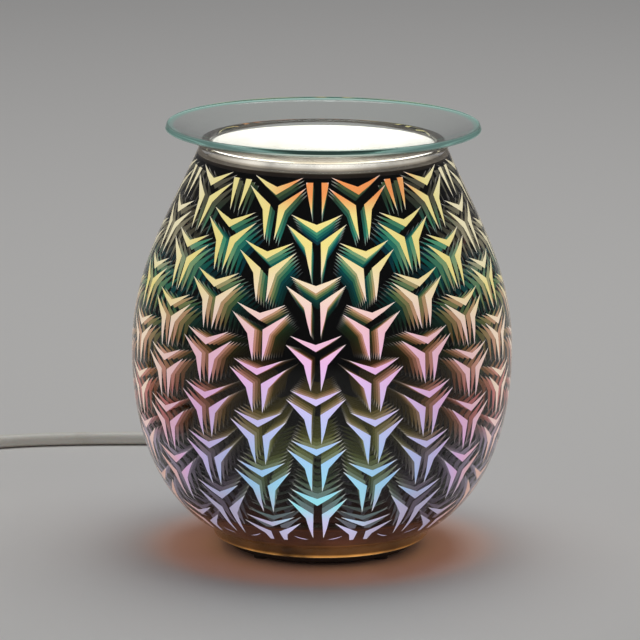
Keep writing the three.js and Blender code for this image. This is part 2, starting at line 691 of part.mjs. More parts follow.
function cordInside() {
  const sheath = [
    [0, COLLAR_BACK_Y - FIT, CORD_EXIT_Z],
    [0, COLLAR_BACK_Y - FIT - 0.7, CORD_EXIT_Z],
    [0, COLLAR_BACK_Y - FIT - 2, CORD_EXIT_Z + 0.1],
    [0, (COLLAR_BACK_Y + CORD_CLAMP_Y) / 2, (CORD_EXIT_Z + CORD_CLAMP_Z) / 2],
    [0, CORD_CLAMP_Y + CORD_CLAMP_WIDTH / 2, CORD_CLAMP_Z],
    [0, SHEATH_END_Y, CORD_CLAMP_Z],
  ];
  add("cord_inside", tube(sheath, CORD_R, CORD_SIDES, WIRE_STEP), "cordSheath");
  const barWidth = 2 * (CORD_CLAMP_SCREW_X + HEAD_R + BOSS_WALL);
  const barTop = CORD_CLAMP_Z - CORD_R - FIT;
  const barLow = barTop - CORD_CLAMP_THICK;
  const bar = block(barWidth, CORD_CLAMP_WIDTH, barLow, barTop, 0, CORD_CLAMP_Y);
  const holes = [];
  for (const side of [-1, 1]) {
    const x = side * CORD_CLAMP_SCREW_X;
    holes.push(screwHole(x, CORD_CLAMP_Y, 0, CORD_CLAMP_Z));
    holes.push(rod(HEAD_R + FIT, 0, barLow + HEAD_THICK + FIT, x, CORD_CLAMP_Y));
  }
  add("cord_clamp", cut(bar, ...holes), "whitePlastic");
  [-1, 1].forEach((side, i) => {
    const turnedOver = screw(CLAMP_SCREW_LENGTH).rotateX(Math.PI);
    const placed = add(`cord_clamp_screw_${i + 1}`, turnedOver, "steel");
    placed.position.set(side * CORD_CLAMP_SCREW_X, CORD_CLAMP_Y, barLow + HEAD_THICK);
  });
}

function terminals() {
  const top = TERMINAL_Z + TERMINAL_HEIGHT;
  const body = block(TERMINAL_WIDTH, TERMINAL_DEPTH, TERMINAL_Z, top, 0, TERMINAL_Y);
  const holes = [];
  for (const side of [-1, 1]) {
    const tunnel = rod(WIRE_R + FIT, -TERMINAL_DEPTH, TERMINAL_DEPTH).rotateX(-Math.PI / 2);
    holes.push(tunnel.translate(side * TERMINAL_POLE_X, TERMINAL_Y, TUNNEL_Z));
    holes.push(rod(GRUB_R + FIT, 0, TUNNEL_Z, side * TERMINAL_POLE_X, TERMINAL_Y));
  }
  add("terminal_block", cut(body, ...holes), "whitePlastic");
  [-1, 1].forEach((side, i) => {
    const grubTop = TUNNEL_Z - WIRE_R - FIT;
    const grub = rod(GRUB_R, TERMINAL_Z, grubTop);
    const slot = block(2 * GRUB_R + 1, DRIVER_WIDTH / 2, TERMINAL_Z - 1, TERMINAL_Z + DRIVER_DEPTH);
    const placed = add(`terminal_screw_${i + 1}`, cut(grub, slot), "brass");
    placed.position.set(side * TERMINAL_POLE_X, TERMINAL_Y, 0);
  });
}

function wires() {
  const front = TERMINAL_Y - TERMINAL_DEPTH / 2;
  const back = TERMINAL_Y + TERMINAL_DEPTH / 2;
  const wireX = WIRE_R + FIT / 2;
  const looks = { "-1": "blueWire", 1: "brownWire" };
  const names = { "-1": "neutral", 1: "live" };
  for (const side of [-1, 1]) {
    const x = side * TERMINAL_POLE_X;
    const core = [
      [side * wireX, SHEATH_END_Y - FIT, CORD_CLAMP_Z],
      [side * wireX, SHEATH_END_Y - FIT - 1, CORD_CLAMP_Z],
      [side * 3.2, (SHEATH_END_Y + back) / 2, (CORD_CLAMP_Z + TUNNEL_Z) / 2],
      [x, back + 0.6, TUNNEL_Z],
      [x, TERMINAL_Y + 2, TUNNEL_Z],
    ];
    add(`core_${names[side]}`, tube(core, WIRE_R, WIRE_SIDES, WIRE_STEP), looks[side]);
    const holeX = side * WIRE_HOLE_X;
    const contactLow = HOLDER_Z + CONTACT_TAIL - CONTACT_R - FIT;
    const lead = [
      [x, TERMINAL_Y - 2, TUNNEL_Z],
      [x, front - 0.5, TUNNEL_Z],
      [x, WIRE_HOLE_Y + 1, TUNNEL_Z + 1.2],
      [holeX, WIRE_HOLE_Y, PLATE_UNDER_Z - 1],
      [holeX, WIRE_HOLE_Y, HOUSING_TOP_Z + 0.6],
      [holeX, WIRE_HOLE_Y + 2.5, BRACKET_Z + 2.6],
      [x, -6, BRACKET_Z + 3],
      [x, -1.4, BRACKET_Z + 3.9],
      [x, 0, BRACKET_Z + BRACKET_RISE + 1],
      [x, 0, contactLow],
    ];
    add(`lead_${names[side]}`, tube(lead, WIRE_R, WIRE_SIDES, WIRE_STEP), looks[side]);
  }
}

function holderBracket() {
  const outline = new THREE.Shape();
  const low = 0;
  const rise = BRACKET_RISE;
  const thick = BRACKET_THICK;
  const legX = BRACKET_TOP_X + thick;
  outline.moveTo(-BRACKET_FOOT_X, low);
  outline.lineTo(-BRACKET_TOP_X, low);
  outline.lineTo(-BRACKET_TOP_X, rise);
  outline.lineTo(BRACKET_TOP_X, rise);
  outline.lineTo(BRACKET_TOP_X, low);
  outline.lineTo(BRACKET_FOOT_X, low);
  outline.lineTo(BRACKET_FOOT_X, thick);
  outline.lineTo(legX, thick);
  outline.lineTo(legX, rise + thick);
  outline.lineTo(-legX, rise + thick);
  outline.lineTo(-legX, thick);
  outline.lineTo(-BRACKET_FOOT_X, thick);
  const options = { depth: BRACKET_WIDTH, bevelEnabled: false };
  const strap = new THREE.ExtrudeGeometry(outline, options)
    .rotateX(Math.PI / 2)
    .translate(0, BRACKET_WIDTH / 2, 0);
  const above = rise + thick + 1;
  const holes = [block(2 * BRACKET_WINDOW_X, 2 * BRACKET_WINDOW_Y, rise - 1, above)];
  for (const side of [-1, 1]) {
    holes.push(screwHole(side * BRACKET_SCREW_X, 0, -1, thick + 1));
    holes.push(screwHole(side * HOLDER_SCREW_X, 0, rise - 1, above));
  }
  add("holder_bracket", cut(strap, ...holes), "steel").position.z = BRACKET_Z;
  [-1, 1].forEach((side, i) => {
    const placed = add(`bracket_screw_${i + 1}`, screw(BRACKET_SCREW_LENGTH), "steel");
    placed.position.set(side * BRACKET_SCREW_X, 0, BRACKET_Z + BRACKET_THICK + FIT);
  });
}

function lampHolder() {
  const body = roundedBlock(HOLDER_LENGTH, HOLDER_WIDTH, HOLDER_CORNER, HOLDER_Z, HOLDER_TOP_Z);
  const pocketTop = HOLDER_Z + HOLDER_POCKET_HEIGHT;
  const above = HOLDER_TOP_Z + 1;
  const tools = [block(2 * HOLDER_POCKET_X, 2 * HOLDER_POCKET_Y, HOLDER_Z - 1, pocketTop)];
  for (const start of [0, Math.PI]) {
    const open = start + LOCK_ANGLE;
    const headHalf = PIN_HEAD_R + FIT;
    tools.push(arcSlot(PIN_RING_R, headHalf, start, open, CHAMBER_Z, CHAMBER_TOP_Z));
    tools.push(arcSlot(PIN_RING_R, PIN_NECK_R + FIT, start, open, CHAMBER_Z, above));
    const entryX = PIN_RING_R * Math.cos(open);
    const entryY = PIN_RING_R * Math.sin(open);
    tools.push(rod(headHalf, CHAMBER_Z, above, entryX, entryY, MEDIUM_STEPS));
    const contactX = PIN_RING_R * Math.cos(start);
    tools.push(rod(CONTACT_R + FIT, HOLDER_Z, CHAMBER_Z + 1, contactX, 0));
  }
  for (const side of [-1, 1]) {
    const x = side * HOLDER_SCREW_X;
    tools.push(screwHole(x, 0, HOLDER_Z - 1, above));
    tools.push(rod(HEAD_R + FIT, HOLDER_TOP_Z - HOLDER_SCREW_SUNK, above, x, 0));
  }
  add("lamp_holder", cut(body, ...tools), "ceramic");
  [-1, 1].forEach((side, i) => {
    const placed = add(`holder_screw_${i + 1}`, screw(HOLDER_SCREW_LENGTH), "steel");
    const headZ = HOLDER_TOP_Z - HOLDER_SCREW_SUNK + FIT;
    placed.position.set(side * HOLDER_SCREW_X, 0, headZ);
    const contactLow = HOLDER_Z + CONTACT_TAIL - CONTACT_R;
    const contact = rod(CONTACT_R, contactLow, PIN_HEAD_Z - FIT);
    add(`holder_contact_${i + 1}`, contact, "brass").position.x = side * PIN_RING_R;
  });
}

// A paraboloid shell with a hole at its bottom: its radius grows with the root of the height.
function reflectorProfile() {
  const neckR = REFLECTOR_HOLE_R + REFLECTOR_WALL;
  const shape = (share) => neckR + (REFLECTOR_R - neckR) * Math.sqrt(share);
  const outside = [];
  const inside = [];
  for (let i = 0; i <= REFLECTOR_STEPS; i += 1) {
    const share = (i / REFLECTOR_STEPS) ** 2;
    const z = REFLECTOR_HEIGHT * share;
    outside.push([shape(share), z]);
    inside.push([shape(share) - REFLECTOR_WALL, z === 0 ? 0 : Math.max(z, REFLECTOR_WALL)]);
  }
  return [...outside, ...inside.reverse(), outside[0]];
}

function lamp() {
  const group = new THREE.Group();
  burner.add(group);
  group.position.z = LAMP_Z;
  const capProfile = [
    [0, 0],
    [CAP_R, 0],
    [CAP_R, CAP_SHOULDER_HEIGHT],
    [CAP_SHOULDER_R, CAP_HEIGHT],
    [0, CAP_HEIGHT],
  ];
  const sockets = [-1, 1].map((side) =>
    rod(PIN_NECK_R + FIT, -1, PIN_SUNK, side * PIN_RING_R, 0),
  );
  add("lamp_cap", cut(turned(capProfile, MEDIUM_STEPS), ...sockets), "ceramic", group);
  const headLow = PIN_HEAD_Z - LAMP_Z;
  const headTop = headLow + PIN_HEAD_HEIGHT;
  const pinProfile = [
    [0, headLow],
    [PIN_HEAD_R, headLow],
    [PIN_HEAD_R, headTop],
    [PIN_NECK_R, headTop],
    [PIN_NECK_R, PIN_SUNK - FIT],
    [0, PIN_SUNK - FIT],
  ];
  [-1, 1].forEach((side, i) => {
    const pin = add(`lamp_pin_${i + 1}`, turned(pinProfile, MEDIUM_STEPS), "brass", group);
    pin.position.x = side * PIN_RING_R;
  });
  const reflectorZ = REFLECTOR_Z - LAMP_Z;
  const reflector = turned(reflectorProfile(), 2 * MEDIUM_STEPS);
  add("lamp_reflector", reflector, "mirror", group).position.z = reflectorZ;
  const lensTop = reflectorZ + REFLECTOR_HEIGHT - LENS_SUNK;
  const lensR = lensRadius();
  const lens = rod(lensR, lensTop - LENS_THICK, lensTop, 0, 0, LARGE_STEPS);
  add("lamp_lens", lens, "clearGlass", group);
  const stemTop = CAPSULE_STEM_HEIGHT;
  const capsuleProfile = [
    [0, 0],
    [CAPSULE_STEM_R, 0],
    [CAPSULE_STEM_R, stemTop],
    [CAPSULE_R, stemTop + 1],
    [CAPSULE_R, CAPSULE_HEIGHT - CAPSULE_R],
    [CAPSULE_R * Math.SQRT1_2, CAPSULE_HEIGHT - CAPSULE_R * (1 - Math.SQRT1_2)],
    [0, CAPSULE_HEIGHT],
  ];
  const capsule = turned(capsuleProfile, MEDIUM_STEPS);
  add("lamp_capsule", capsule, "clearGlass", group).position.z = reflectorZ;
}

// Largest radius of the lens that clears the reflector's wall at the lens's underside.
function lensRadius() {
  const low = (REFLECTOR_HEIGHT - LENS_SUNK - LENS_THICK) / REFLECTOR_HEIGHT;
  const neckR = REFLECTOR_HOLE_R + REFLECTOR_WALL;
  const straight = neckR + (REFLECTOR_R - neckR) * Math.sqrt(low);
  return straight - REFLECTOR_WALL - 2 * FIT;
}

function rockerOutline() {
  const half = ROCKER_LENGTH / 2;
  const outline = new THREE.Shape();
  outline.moveTo(-half, ROCKER_RISE);
  outline.lineTo(-half, 0);
  outline.lineTo(-half / 2, -ROCKER_BOW * ROCKER_KEEL);
  outline.lineTo(0, -ROCKER_KEEL);
  outline.lineTo(half / 2, -ROCKER_BOW * ROCKER_KEEL);
  outline.lineTo(half, 0);
  outline.lineTo(half, ROCKER_RISE);
  outline.lineTo(half / 2, ROCKER_RISE - ROCKER_BOW * ROCKER_DIP);
  outline.lineTo(0, ROCKER_RISE - ROCKER_DIP);
  outline.lineTo(-half / 2, ROCKER_RISE - ROCKER_BOW * ROCKER_DIP);
  return outline;
}

function switchRocker(group, pivotZ) {
  const options = { depth: ROCKER_WIDTH, bevelEnabled: false };
  const body = new THREE.ExtrudeGeometry(rockerOutline(), options)
    .rotateX(Math.PI / 2)
    .translate(0, ROCKER_WIDTH / 2, 0);
  const reach = ROCKER_WIDTH / 2 + TRUNNION_LENGTH;
  const trunnions = rod(TRUNNION_R, -reach, reach).rotateX(-Math.PI / 2);
  const rocker = joined(body, trunnions).rotateY(ROCKER_TILT);
  add("switch_rocker", rocker, "whitePlastic", group).position.z = pivotZ;
}

function switchUpper(group, pivotZ) {
  const low = SWITCH_LOWER_HEIGHT + FIT;
  const high = low + SWITCH_UPPER_HEIGHT;
  const inner = [SWITCH_LENGTH, SWITCH_WIDTH].map((size) => size - 2 * SWITCH_WALL);
  const innerCorner = SWITCH_CORNER - SWITCH_WALL;
  const roof = high - SWITCH_WALL;
  const shell = cut(
    roundedBlock(SWITCH_LENGTH, SWITCH_WIDTH, SWITCH_CORNER, low, high),
    roundedBlock(...inner, innerCorner, low - 1, roof),
  );
  const blockGap = ROCKER_WIDTH / 2 + FIT;
  const blockThick = TRUNNION_LENGTH + TRUNNION_BLOCK_WALL;
  const blockWidth = 2 * (TRUNNION_R + FIT + TRUNNION_BLOCK_WALL);
  const blockLow = pivotZ - TRUNNION_R - FIT - TRUNNION_BLOCK_WALL;
  const extras = [-1, 1].map((side) =>
    block(blockWidth, blockThick, blockLow, roof + 1, 0, side * (blockGap + blockThick / 2)),
  );
  const screws = [-1, 1].map((side) => [side * SWITCH_SCREW_X, -side * SWITCH_SCREW_Y]);
  const bossR = SHANK_R + FIT + BOSS_WALL;
  for (const [x, y] of screws) extras.push(rod(bossR, low, roof + 1, x, y));
  const lift = high - pivotZ;
  const swing = (ROCKER_LENGTH / 2) * Math.cos(ROCKER_TILT) + lift * Math.sin(ROCKER_TILT);
  const window = block(2 * (swing + FIT), ROCKER_WIDTH + 2 * FIT, blockLow, high + 1);
  const reach = ROCKER_WIDTH / 2 + TRUNNION_LENGTH + FIT;
  const sockets = rod(TRUNNION_R + FIT, -reach, reach).rotateX(-Math.PI / 2);
  const holes = screws.map(([x, y]) => screwHole(x, y, low - 1, roof));
  const tools = [window, sockets.translate(0, 0, pivotZ), ...holes];
  add("switch_upper", cut(joined(shell, ...extras), ...tools), "whitePlastic", group);
}

function switchLower(group) {
  const high = SWITCH_LOWER_HEIGHT;
  const inner = [SWITCH_LENGTH, SWITCH_WIDTH].map((size) => size - 2 * SWITCH_WALL);
  const innerCorner = SWITCH_CORNER - SWITCH_WALL;
  const shell = cut(
    roundedBlock(SWITCH_LENGTH, SWITCH_WIDTH, SWITCH_CORNER, 0, high),
    roundedBlock(...inner, innerCorner, SWITCH_WALL, high + 1),
  );
  const screws = [-1, 1].map((side) => [side * SWITCH_SCREW_X, -side * SWITCH_SCREW_Y]);
  const bossR = HEAD_R + FIT + SWITCH_WALL / 2;
  const sunk = HEAD_THICK + 2 * FIT;
  const bosses = screws.map(([x, y]) => rod(bossR, SWITCH_WALL / 2, high, x, y));
  const holes = screws.flatMap(([x, y]) => [
    screwHole(x, y, -1, high + 1),
    rod(HEAD_R + FIT, -1, sunk, x, y),
  ]);
  add("switch_lower", cut(joined(shell, ...bosses), ...holes), "whitePlastic", group);
  screws.forEach(([x, y], i) => {
    const turnedOver = screw(SWITCH_SCREW_LENGTH).rotateX(Math.PI);
    const placed = add(`switch_screw_${i + 1}`, turnedOver, "steel", group);
    placed.position.set(x, y, sunk - FIT);
  });
  const stripLow = SWITCH_WALL + FIT;
  const stripTop = stripLow + SWITCH_STRIP_THICK;
  const strip = block(SWITCH_STRIP_LENGTH, SWITCH_STRIP_WIDTH, stripLow, stripTop);
  const tongueTop = stripTop + SWITCH_TONGUE_RISE;
  const tongueX = (SWITCH_STRIP_LENGTH - SWITCH_STRIP_THICK) / 2;
  const tongue = block(SWITCH_STRIP_THICK, SWITCH_STRIP_WIDTH, stripLow, tongueTop, tongueX);
  add("switch_contact", joined(strip, tongue), "brass", group);
}

function inlineSwitch() {
  const group = new THREE.Group();
  burner.add(group);
  group.position.set(SWITCH_AT[0], SWITCH_AT[1], 0);
  group.rotation.z = -Math.PI / 2;
  const pivotZ = SWITCH_LOWER_HEIGHT + FIT + SWITCH_UPPER_HEIGHT - ROCKER_PIVOT_DROP;
  switchLower(group);
  switchUpper(group, pivotZ);
  switchRocker(group, pivotZ);
}

// Centre line of the coil. It runs clockwise seen from above: inwards on the floor, up a layer in
// the half turn where the spiral turns back, and outwards on top. Its ends run straight.
function coilPoint(turns) {
  const angle = -2 * Math.PI * turns;
  const middle = COIL_TURNS / 2;
  const radius = COIL_OUTER_R - COIL_PITCH * (middle - Math.abs(turns - middle));
  const climb = THREE.MathUtils.clamp((turns - middle) / 0.5 + 0.5, 0, 1);
  return new THREE.Vector3(
    COIL_AT[0] + radius * Math.cos(angle),
    COIL_AT[1] + radius * Math.sin(angle),
    COIL_Z + COIL_PITCH * climb,
  );
}

function coilLine() {
  const steps = Math.round(COIL_TURNS * COIL_LOOP_STEPS);
  const line = [];
  for (let i = 0; i <= steps; i += 1) line.push(coilPoint((COIL_TURNS * i) / steps));
  const straight = new THREE.Vector3(0, 2 * CORD_R, 0);
  line.unshift(line[0].clone().add(straight));
  line.push(line.at(-1).clone().add(straight));
  return line;
}

// Least gap between two stretches of the coil that lie more than half a turn apart.
function coilGap() {
  const perTurn = 120;
  const count = Math.round(COIL_TURNS * perTurn);
  const points = [];
  for (let i = 0; i <= count; i += 1) points.push(coilPoint((COIL_TURNS * i) / count));
  let least = Infinity;
  points.forEach((a, i) => {
    for (let j = i + perTurn / 2; j <= count; j += 1) least = Math.min(least, a.distanceTo(points[j]));
  });
  return least - 2 * CORD_R;
}

// A tube of flat sides through every point of a level line, its rings upright, closed at its ends.
function levelTube(line, radius, sides) {
  const positions = [];
  const up = new THREE.Vector3(0, 0, 1);
  line.forEach((point, i) => {
    const before = line[Math.max(i - 1, 0)];
    const after = line[Math.min(i + 1, line.length - 1)];
    const along = after.clone().sub(before).normalize();
    const side = along.clone().cross(up).normalize();
    const top = side.clone().cross(along);
    for (let k = 0; k < sides; k += 1) {
      const angle = (2 * Math.PI * k) / sides;
      const corner = point.clone().addScaledVector(side, radius * Math.cos(angle));
      positions.push(...corner.addScaledVector(top, radius * Math.sin(angle)).toArray());
    }
  });
  const index = [];
  for (let i = 0; i + 1 < line.length; i += 1) {
    for (let k = 0; k < sides; k += 1) {
      const a = i * sides + k;
      const b = i * sides + ((k + 1) % sides);
      index.push(a, a + sides, b, b, a + sides, b + sides);
    }
  }
  const last = (line.length - 1) * sides;
  for (let k = 1; k + 1 < sides; k += 1) {
    index.push(0, k, k + 1);
    index.push(last, last + k + 1, last + k);
  }
  const geometry = new THREE.BufferGeometry();
  geometry.setAttribute("position", new THREE.Float32BufferAttribute(positions, 3));
  geometry.setIndex(index);
  return geometry;
}

function coilTie() {
  const half = COIL_TURNS / 2;
  const bundleIn = COIL_OUTER_R - COIL_PITCH * (half - 0.5) - CORD_R - TIE_FIT;
  const bundleOut = COIL_OUTER_R - COIL_PITCH / 4 + CORD_R + TIE_FIT;
  const inner = [bundleIn, bundleOut, COIL_Z - CORD_R - FIT, COIL_TOP_Z + CORD_R + FIT];
  const width = inner[1] - inner[0];
  const height = inner[3] - inner[2];
  const outline = roundedOutline(width + 2 * TIE_THICK, height + 2 * TIE_THICK, CORD_R + TIE_THICK);
  outline.holes.push(roundedOutline(width, height, CORD_R));
  const options = { depth: TIE_WIDTH, bevelEnabled: false, curveSegments: 3 };
  const band = new THREE.ExtrudeGeometry(outline, options)
    .translate(0, 0, -TIE_WIDTH / 2)
    .rotateX(Math.PI / 2)
    .rotateZ(Math.PI / 2);
  const placed = add("coil_tie", band, "blackPlastic");
  const middleR = (inner[0] + inner[1]) / 2;
  placed.position.set(COIL_AT[0], COIL_AT[1] - middleR, (inner[2] + inner[3]) / 2);
}

function flatPin([width, depth, length]) {
  const bevel = PIN_BEVEL;
  const outline = new THREE.Shape();
  const x = width / 2 - bevel;
  const y = depth / 2 - bevel;
  outline.moveTo(-x, -y);
  outline.lineTo(x, -y);
  outline.lineTo(x, y);
  outline.lineTo(-x, y);
  const options = {
    depth: length + PLUG_PIN_SUNK - FIT - 2 * bevel,
    bevelThickness: bevel,
    bevelSize: bevel,
    bevelSegments: 1,
  };
  return new THREE.ExtrudeGeometry(outline, options).translate(0, 0, bevel + FIT - PLUG_PIN_SUNK);
}

function plugBody(group, pins) {
  const bevelled = {
    depth: PLUG_THICK - 2 * PLUG_BEVEL,
    bevelThickness: PLUG_BEVEL,
    bevelSize: PLUG_BEVEL,
    bevelSegments: 1,
    curveSegments: 4,
  };
  const width = PLUG_WIDTH - 2 * PLUG_BEVEL;
  const height = PLUG_HEIGHT - 2 * PLUG_BEVEL;
  const outline = roundedOutline(width, height, PLUG_CORNER);
  const shell = new THREE.ExtrudeGeometry(outline, bevelled).translate(0, 0, PLUG_BEVEL);
  const bootProfile = [
    [0, -PLUG_HEIGHT / 2 - PLUG_BOOT_LENGTH],
    [PLUG_BOOT_TIP_R, -PLUG_HEIGHT / 2 - PLUG_BOOT_LENGTH],
    [PLUG_BOOT_R, -PLUG_HEIGHT / 2 + 2],
    [0, -PLUG_HEIGHT / 2 + 2],
  ];
  const boot = turned(bootProfile, MEDIUM_STEPS).rotateX(-Math.PI / 2);
  const holes = pins.map(([, size, x, y]) => {
    const [wide, deep] = size.map((length) => length + 2 * FIT);
    return block(wide, deep, PLUG_THICK - PLUG_PIN_SUNK, PLUG_THICK + 1, x, y);
  });
  const drawerLow = PLUG_THICK - DRAWER_THICK - 2 * FUSE_R - 4 * FIT;
  holes.push(
    block(DRAWER_LENGTH + 2 * FIT, DRAWER_WIDTH + 2 * FIT, drawerLow, PLUG_THICK + 1),
  );
  const body = cut(joined(shell, boot.translate(0, 0, PLUG_CORD_Z)), ...holes);
  add("plug_body", body, "whitePlastic", group);
}

function fuseDrawer(group) {
  const low = PLUG_THICK - DRAWER_THICK;
  const lid = block(DRAWER_LENGTH, DRAWER_WIDTH, low, PLUG_THICK);
  const tabX = (DRAWER_LENGTH - DRAWER_TAB_THICK) / 2;
  const tabs = [-1, 1].map((side) =>
    block(DRAWER_TAB_THICK, DRAWER_WIDTH, PLUG_THICK - DRAWER_TAB_HEIGHT, low + 1, side * tabX, 0),
  );
  add("plug_fuse_drawer", joined(lid, ...tabs), "whitePlastic", group);
  const half = FUSE_LENGTH / 2;
  const fuse = rod(FUSE_R, -half, half, 0, 0, MEDIUM_STEPS).rotateY(Math.PI / 2);
  add("plug_fuse", fuse, "ceramic", group).position.z = low - FIT - FUSE_R;
}

function plug() {
  const group = new THREE.Group();
  burner.add(group);
  group.position.set(PLUG_AT[0], PLUG_AT[1], 0);
  const flatY = PLUG_EARTH_Y - PLUG_PIN_DROP;
  const pins = [
    ["plug_pin_earth", EARTH_PIN, 0, PLUG_EARTH_Y],
    ["plug_pin_live", FLAT_PIN, PLUG_PIN_X, flatY],
    ["plug_pin_neutral", FLAT_PIN, -PLUG_PIN_X, flatY],
  ];
  plugBody(group, pins);
  fuseDrawer(group);
  for (const [name, size, x, y] of pins) {
    add(name, flatPin(size), "brass", group).position.set(x, y, PLUG_THICK);
  }
}

function cord() {
  add("cord_run", tube(RUN_ROUTE, CORD_R, CORD_SIDES, CORD_STEP), "cordSheath");
  add("cord_link", tube(LINK_ROUTE, CORD_R, CORD_SIDES, CORD_STEP), "cordSheath");
  add("cord_tail", tube(TAIL_ROUTE, CORD_R, CORD_SIDES, CORD_STEP), "cordSheath");
  add("cord_coil", levelTube(coilLine(), CORD_R, COIL_SIDES), "cordSheath");
}

function lineLength(points) {
  const line = points.map((p) => (Array.isArray(p) ? new THREE.Vector3(...p) : p));
  return line.slice(1).reduce((sum, p, i) => sum + p.distanceTo(line[i]), 0);
}

glassDish();
glassJar();
jarClamp();
baseHousing();
baseCover();
rubberFeet();
cordBoot();
cordInside();
terminals();
wires();
holderBracket();
lampHolder();
lamp();
inlineSwitch();
cord();
coilTie();
plug();

const stretches = [RUN_ROUTE, LINK_ROUTE, coilLine(), TAIL_ROUTE].map(lineLength);
const ends = BOOT_LENGTH + SWITCH_LENGTH + PLUG_BOOT_LENGTH;
const whole = stretches.reduce((sum, length) => sum + length, ends);
console.log("cord stretches in mm:", stretches.map((length) => length.toFixed(1)).join(", "));
console.log("cord from base to plug in mm:", whole.toFixed(0));
console.log("least gap of the coil to itself in mm:", coilGap().toFixed(2));

export default burner;
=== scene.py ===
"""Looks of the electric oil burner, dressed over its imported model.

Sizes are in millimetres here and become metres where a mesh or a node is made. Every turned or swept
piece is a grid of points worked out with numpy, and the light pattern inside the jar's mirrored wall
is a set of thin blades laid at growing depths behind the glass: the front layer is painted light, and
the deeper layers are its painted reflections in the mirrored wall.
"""
import math

import bmesh
import bpy
import numpy as np
from mathutils import Matrix, Vector


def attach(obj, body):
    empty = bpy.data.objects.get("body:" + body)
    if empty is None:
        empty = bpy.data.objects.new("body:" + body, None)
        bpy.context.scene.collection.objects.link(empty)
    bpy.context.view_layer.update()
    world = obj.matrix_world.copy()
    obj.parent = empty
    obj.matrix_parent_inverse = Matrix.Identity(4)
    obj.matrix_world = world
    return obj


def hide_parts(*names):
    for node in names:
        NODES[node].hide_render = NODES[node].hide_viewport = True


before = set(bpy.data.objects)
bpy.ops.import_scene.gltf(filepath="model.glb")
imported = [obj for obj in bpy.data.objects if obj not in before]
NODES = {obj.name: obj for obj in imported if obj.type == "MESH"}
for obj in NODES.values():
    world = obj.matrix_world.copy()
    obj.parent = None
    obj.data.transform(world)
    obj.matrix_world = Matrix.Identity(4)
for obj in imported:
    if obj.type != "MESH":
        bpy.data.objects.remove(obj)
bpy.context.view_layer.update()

MM = 0.001
SCENE = bpy.context.scene
SCENE.view_settings.view_transform = "Standard"

# Camera

CAMERA_PLACE = (-0.75, -1700.0, 446.5)
CAMERA_DOWN, CAMERA_ROLL = math.radians(12.16), math.radians(0.36)
CAMERA_LENS, SENSOR_WIDTH, CAMERA_REACH_M = 280.1, 36, 20


def add_object(name, data):
    """A new object in the scene."""
    made = bpy.data.objects.new(name, data)
    SCENE.collection.objects.link(made)
    return made


def make_camera():
    """A long lens a little above the dish, looking down at the jar, rolled a third of a degree."""
    data = bpy.data.cameras.new("camera")
    data.lens, data.sensor_width, data.clip_end = CAMERA_LENS, SENSOR_WIDTH, CAMERA_REACH_M
    camera = add_object("camera", data)
    camera.location = Vector(CAMERA_PLACE) * MM
    camera.rotation_mode = "QUATERNION"
    turn = Matrix.Rotation(math.pi / 2 - CAMERA_DOWN, 3, "X") @ Matrix.Rotation(CAMERA_ROLL, 3, "Z")
    camera.rotation_quaternion = turn.to_quaternion()
    SCENE.camera = camera


make_camera()

# Cord routes, as in the solids

CORD_R, CORD_SIDES, CORD_SPACING = 2.5, 16, 3.0
BOOT_Z, PLUG_CORD_Z = 6, 10
SWITCH_X, SWITCH_CORD_Z = -147.9, 7.15
COIL_MID_R, COIL_PITCH, COIL_TURNS, COIL_STEPS = 29.8, 5.5, 5.5, 36
COIL_OUTER_R = COIL_MID_R + COIL_PITCH * COIL_TURNS / 4
COIL_X, COIL_Y = SWITCH_X - COIL_OUTER_R, -12.0
COIL_LOW_Z, COIL_HIGH_Z = CORD_R + 1.1, 9.1
TAIL_X = COIL_X - COIL_OUTER_R
RUN_START_Y, RUN_DOWN_Y = 60.3, 96.0
LINK_START_Y, COIL_END_Y = 27.7, -6.7
TAIL_LOW_Y, TAIL_LOW_Z, TAIL_END_Y = 20.0, 3.2, 48.7
EASE_POINTS, SPAN_POINTS = 6, 12
FLOOR_BEND = [(-2.2, 108.7), (-7.2, 120.5), (-15, 130.6), (-25, 138.4), (-36.6, 143.3), (-49, 145),
              (-62, 145.2), (-75, 145), (-88, 144.3), (-101, 142.9), (-112, 140.9), (-122, 138),
              (-131.9, 134.3)]
SWITCH_RISE = [(-140.4, 127.2, 2.7), (-146, 117.5, 3.7), (SWITCH_X, 107, 5.6), (SWITCH_X, 99, 6.9),
               (SWITCH_X, 94, SWITCH_CORD_Z), (SWITCH_X, 90.3, SWITCH_CORD_Z)]


def smooth_step(t):
    """Eases a share between 0 and 1 as 3t² - 2t³."""
    return t * t * (3 - 2 * t)


def eased(x, from_y, to_y, from_z, to_z):
    """Points straight along Y whose height eases from one value to the other."""
    t = np.linspace(0, 1, EASE_POINTS)
    return [(x, from_y + (to_y - from_y) * k, from_z + (to_z - from_z) * smooth_step(k)) for k in t]


def coil_line():
    """The coil's centre line: a flat spiral that runs inwards on the floor, climbs one layer in the
    half turn where it turns back, and runs outwards on top, clockwise seen from above."""
    turns = np.linspace(0, COIL_TURNS, int(COIL_TURNS * COIL_STEPS) + 1)
    middle = COIL_TURNS / 2
    radius = COIL_OUTER_R - COIL_PITCH * (middle - np.abs(turns - middle))
    climb = smooth_step(np.clip((turns - middle) / 0.5 + 0.5, 0, 1))
    x = COIL_X + radius * np.cos(-2 * np.pi * turns)
    y = COIL_Y + radius * np.sin(-2 * np.pi * turns)
    return np.stack([x, y, COIL_LOW_Z + COIL_PITCH * climb], 1)


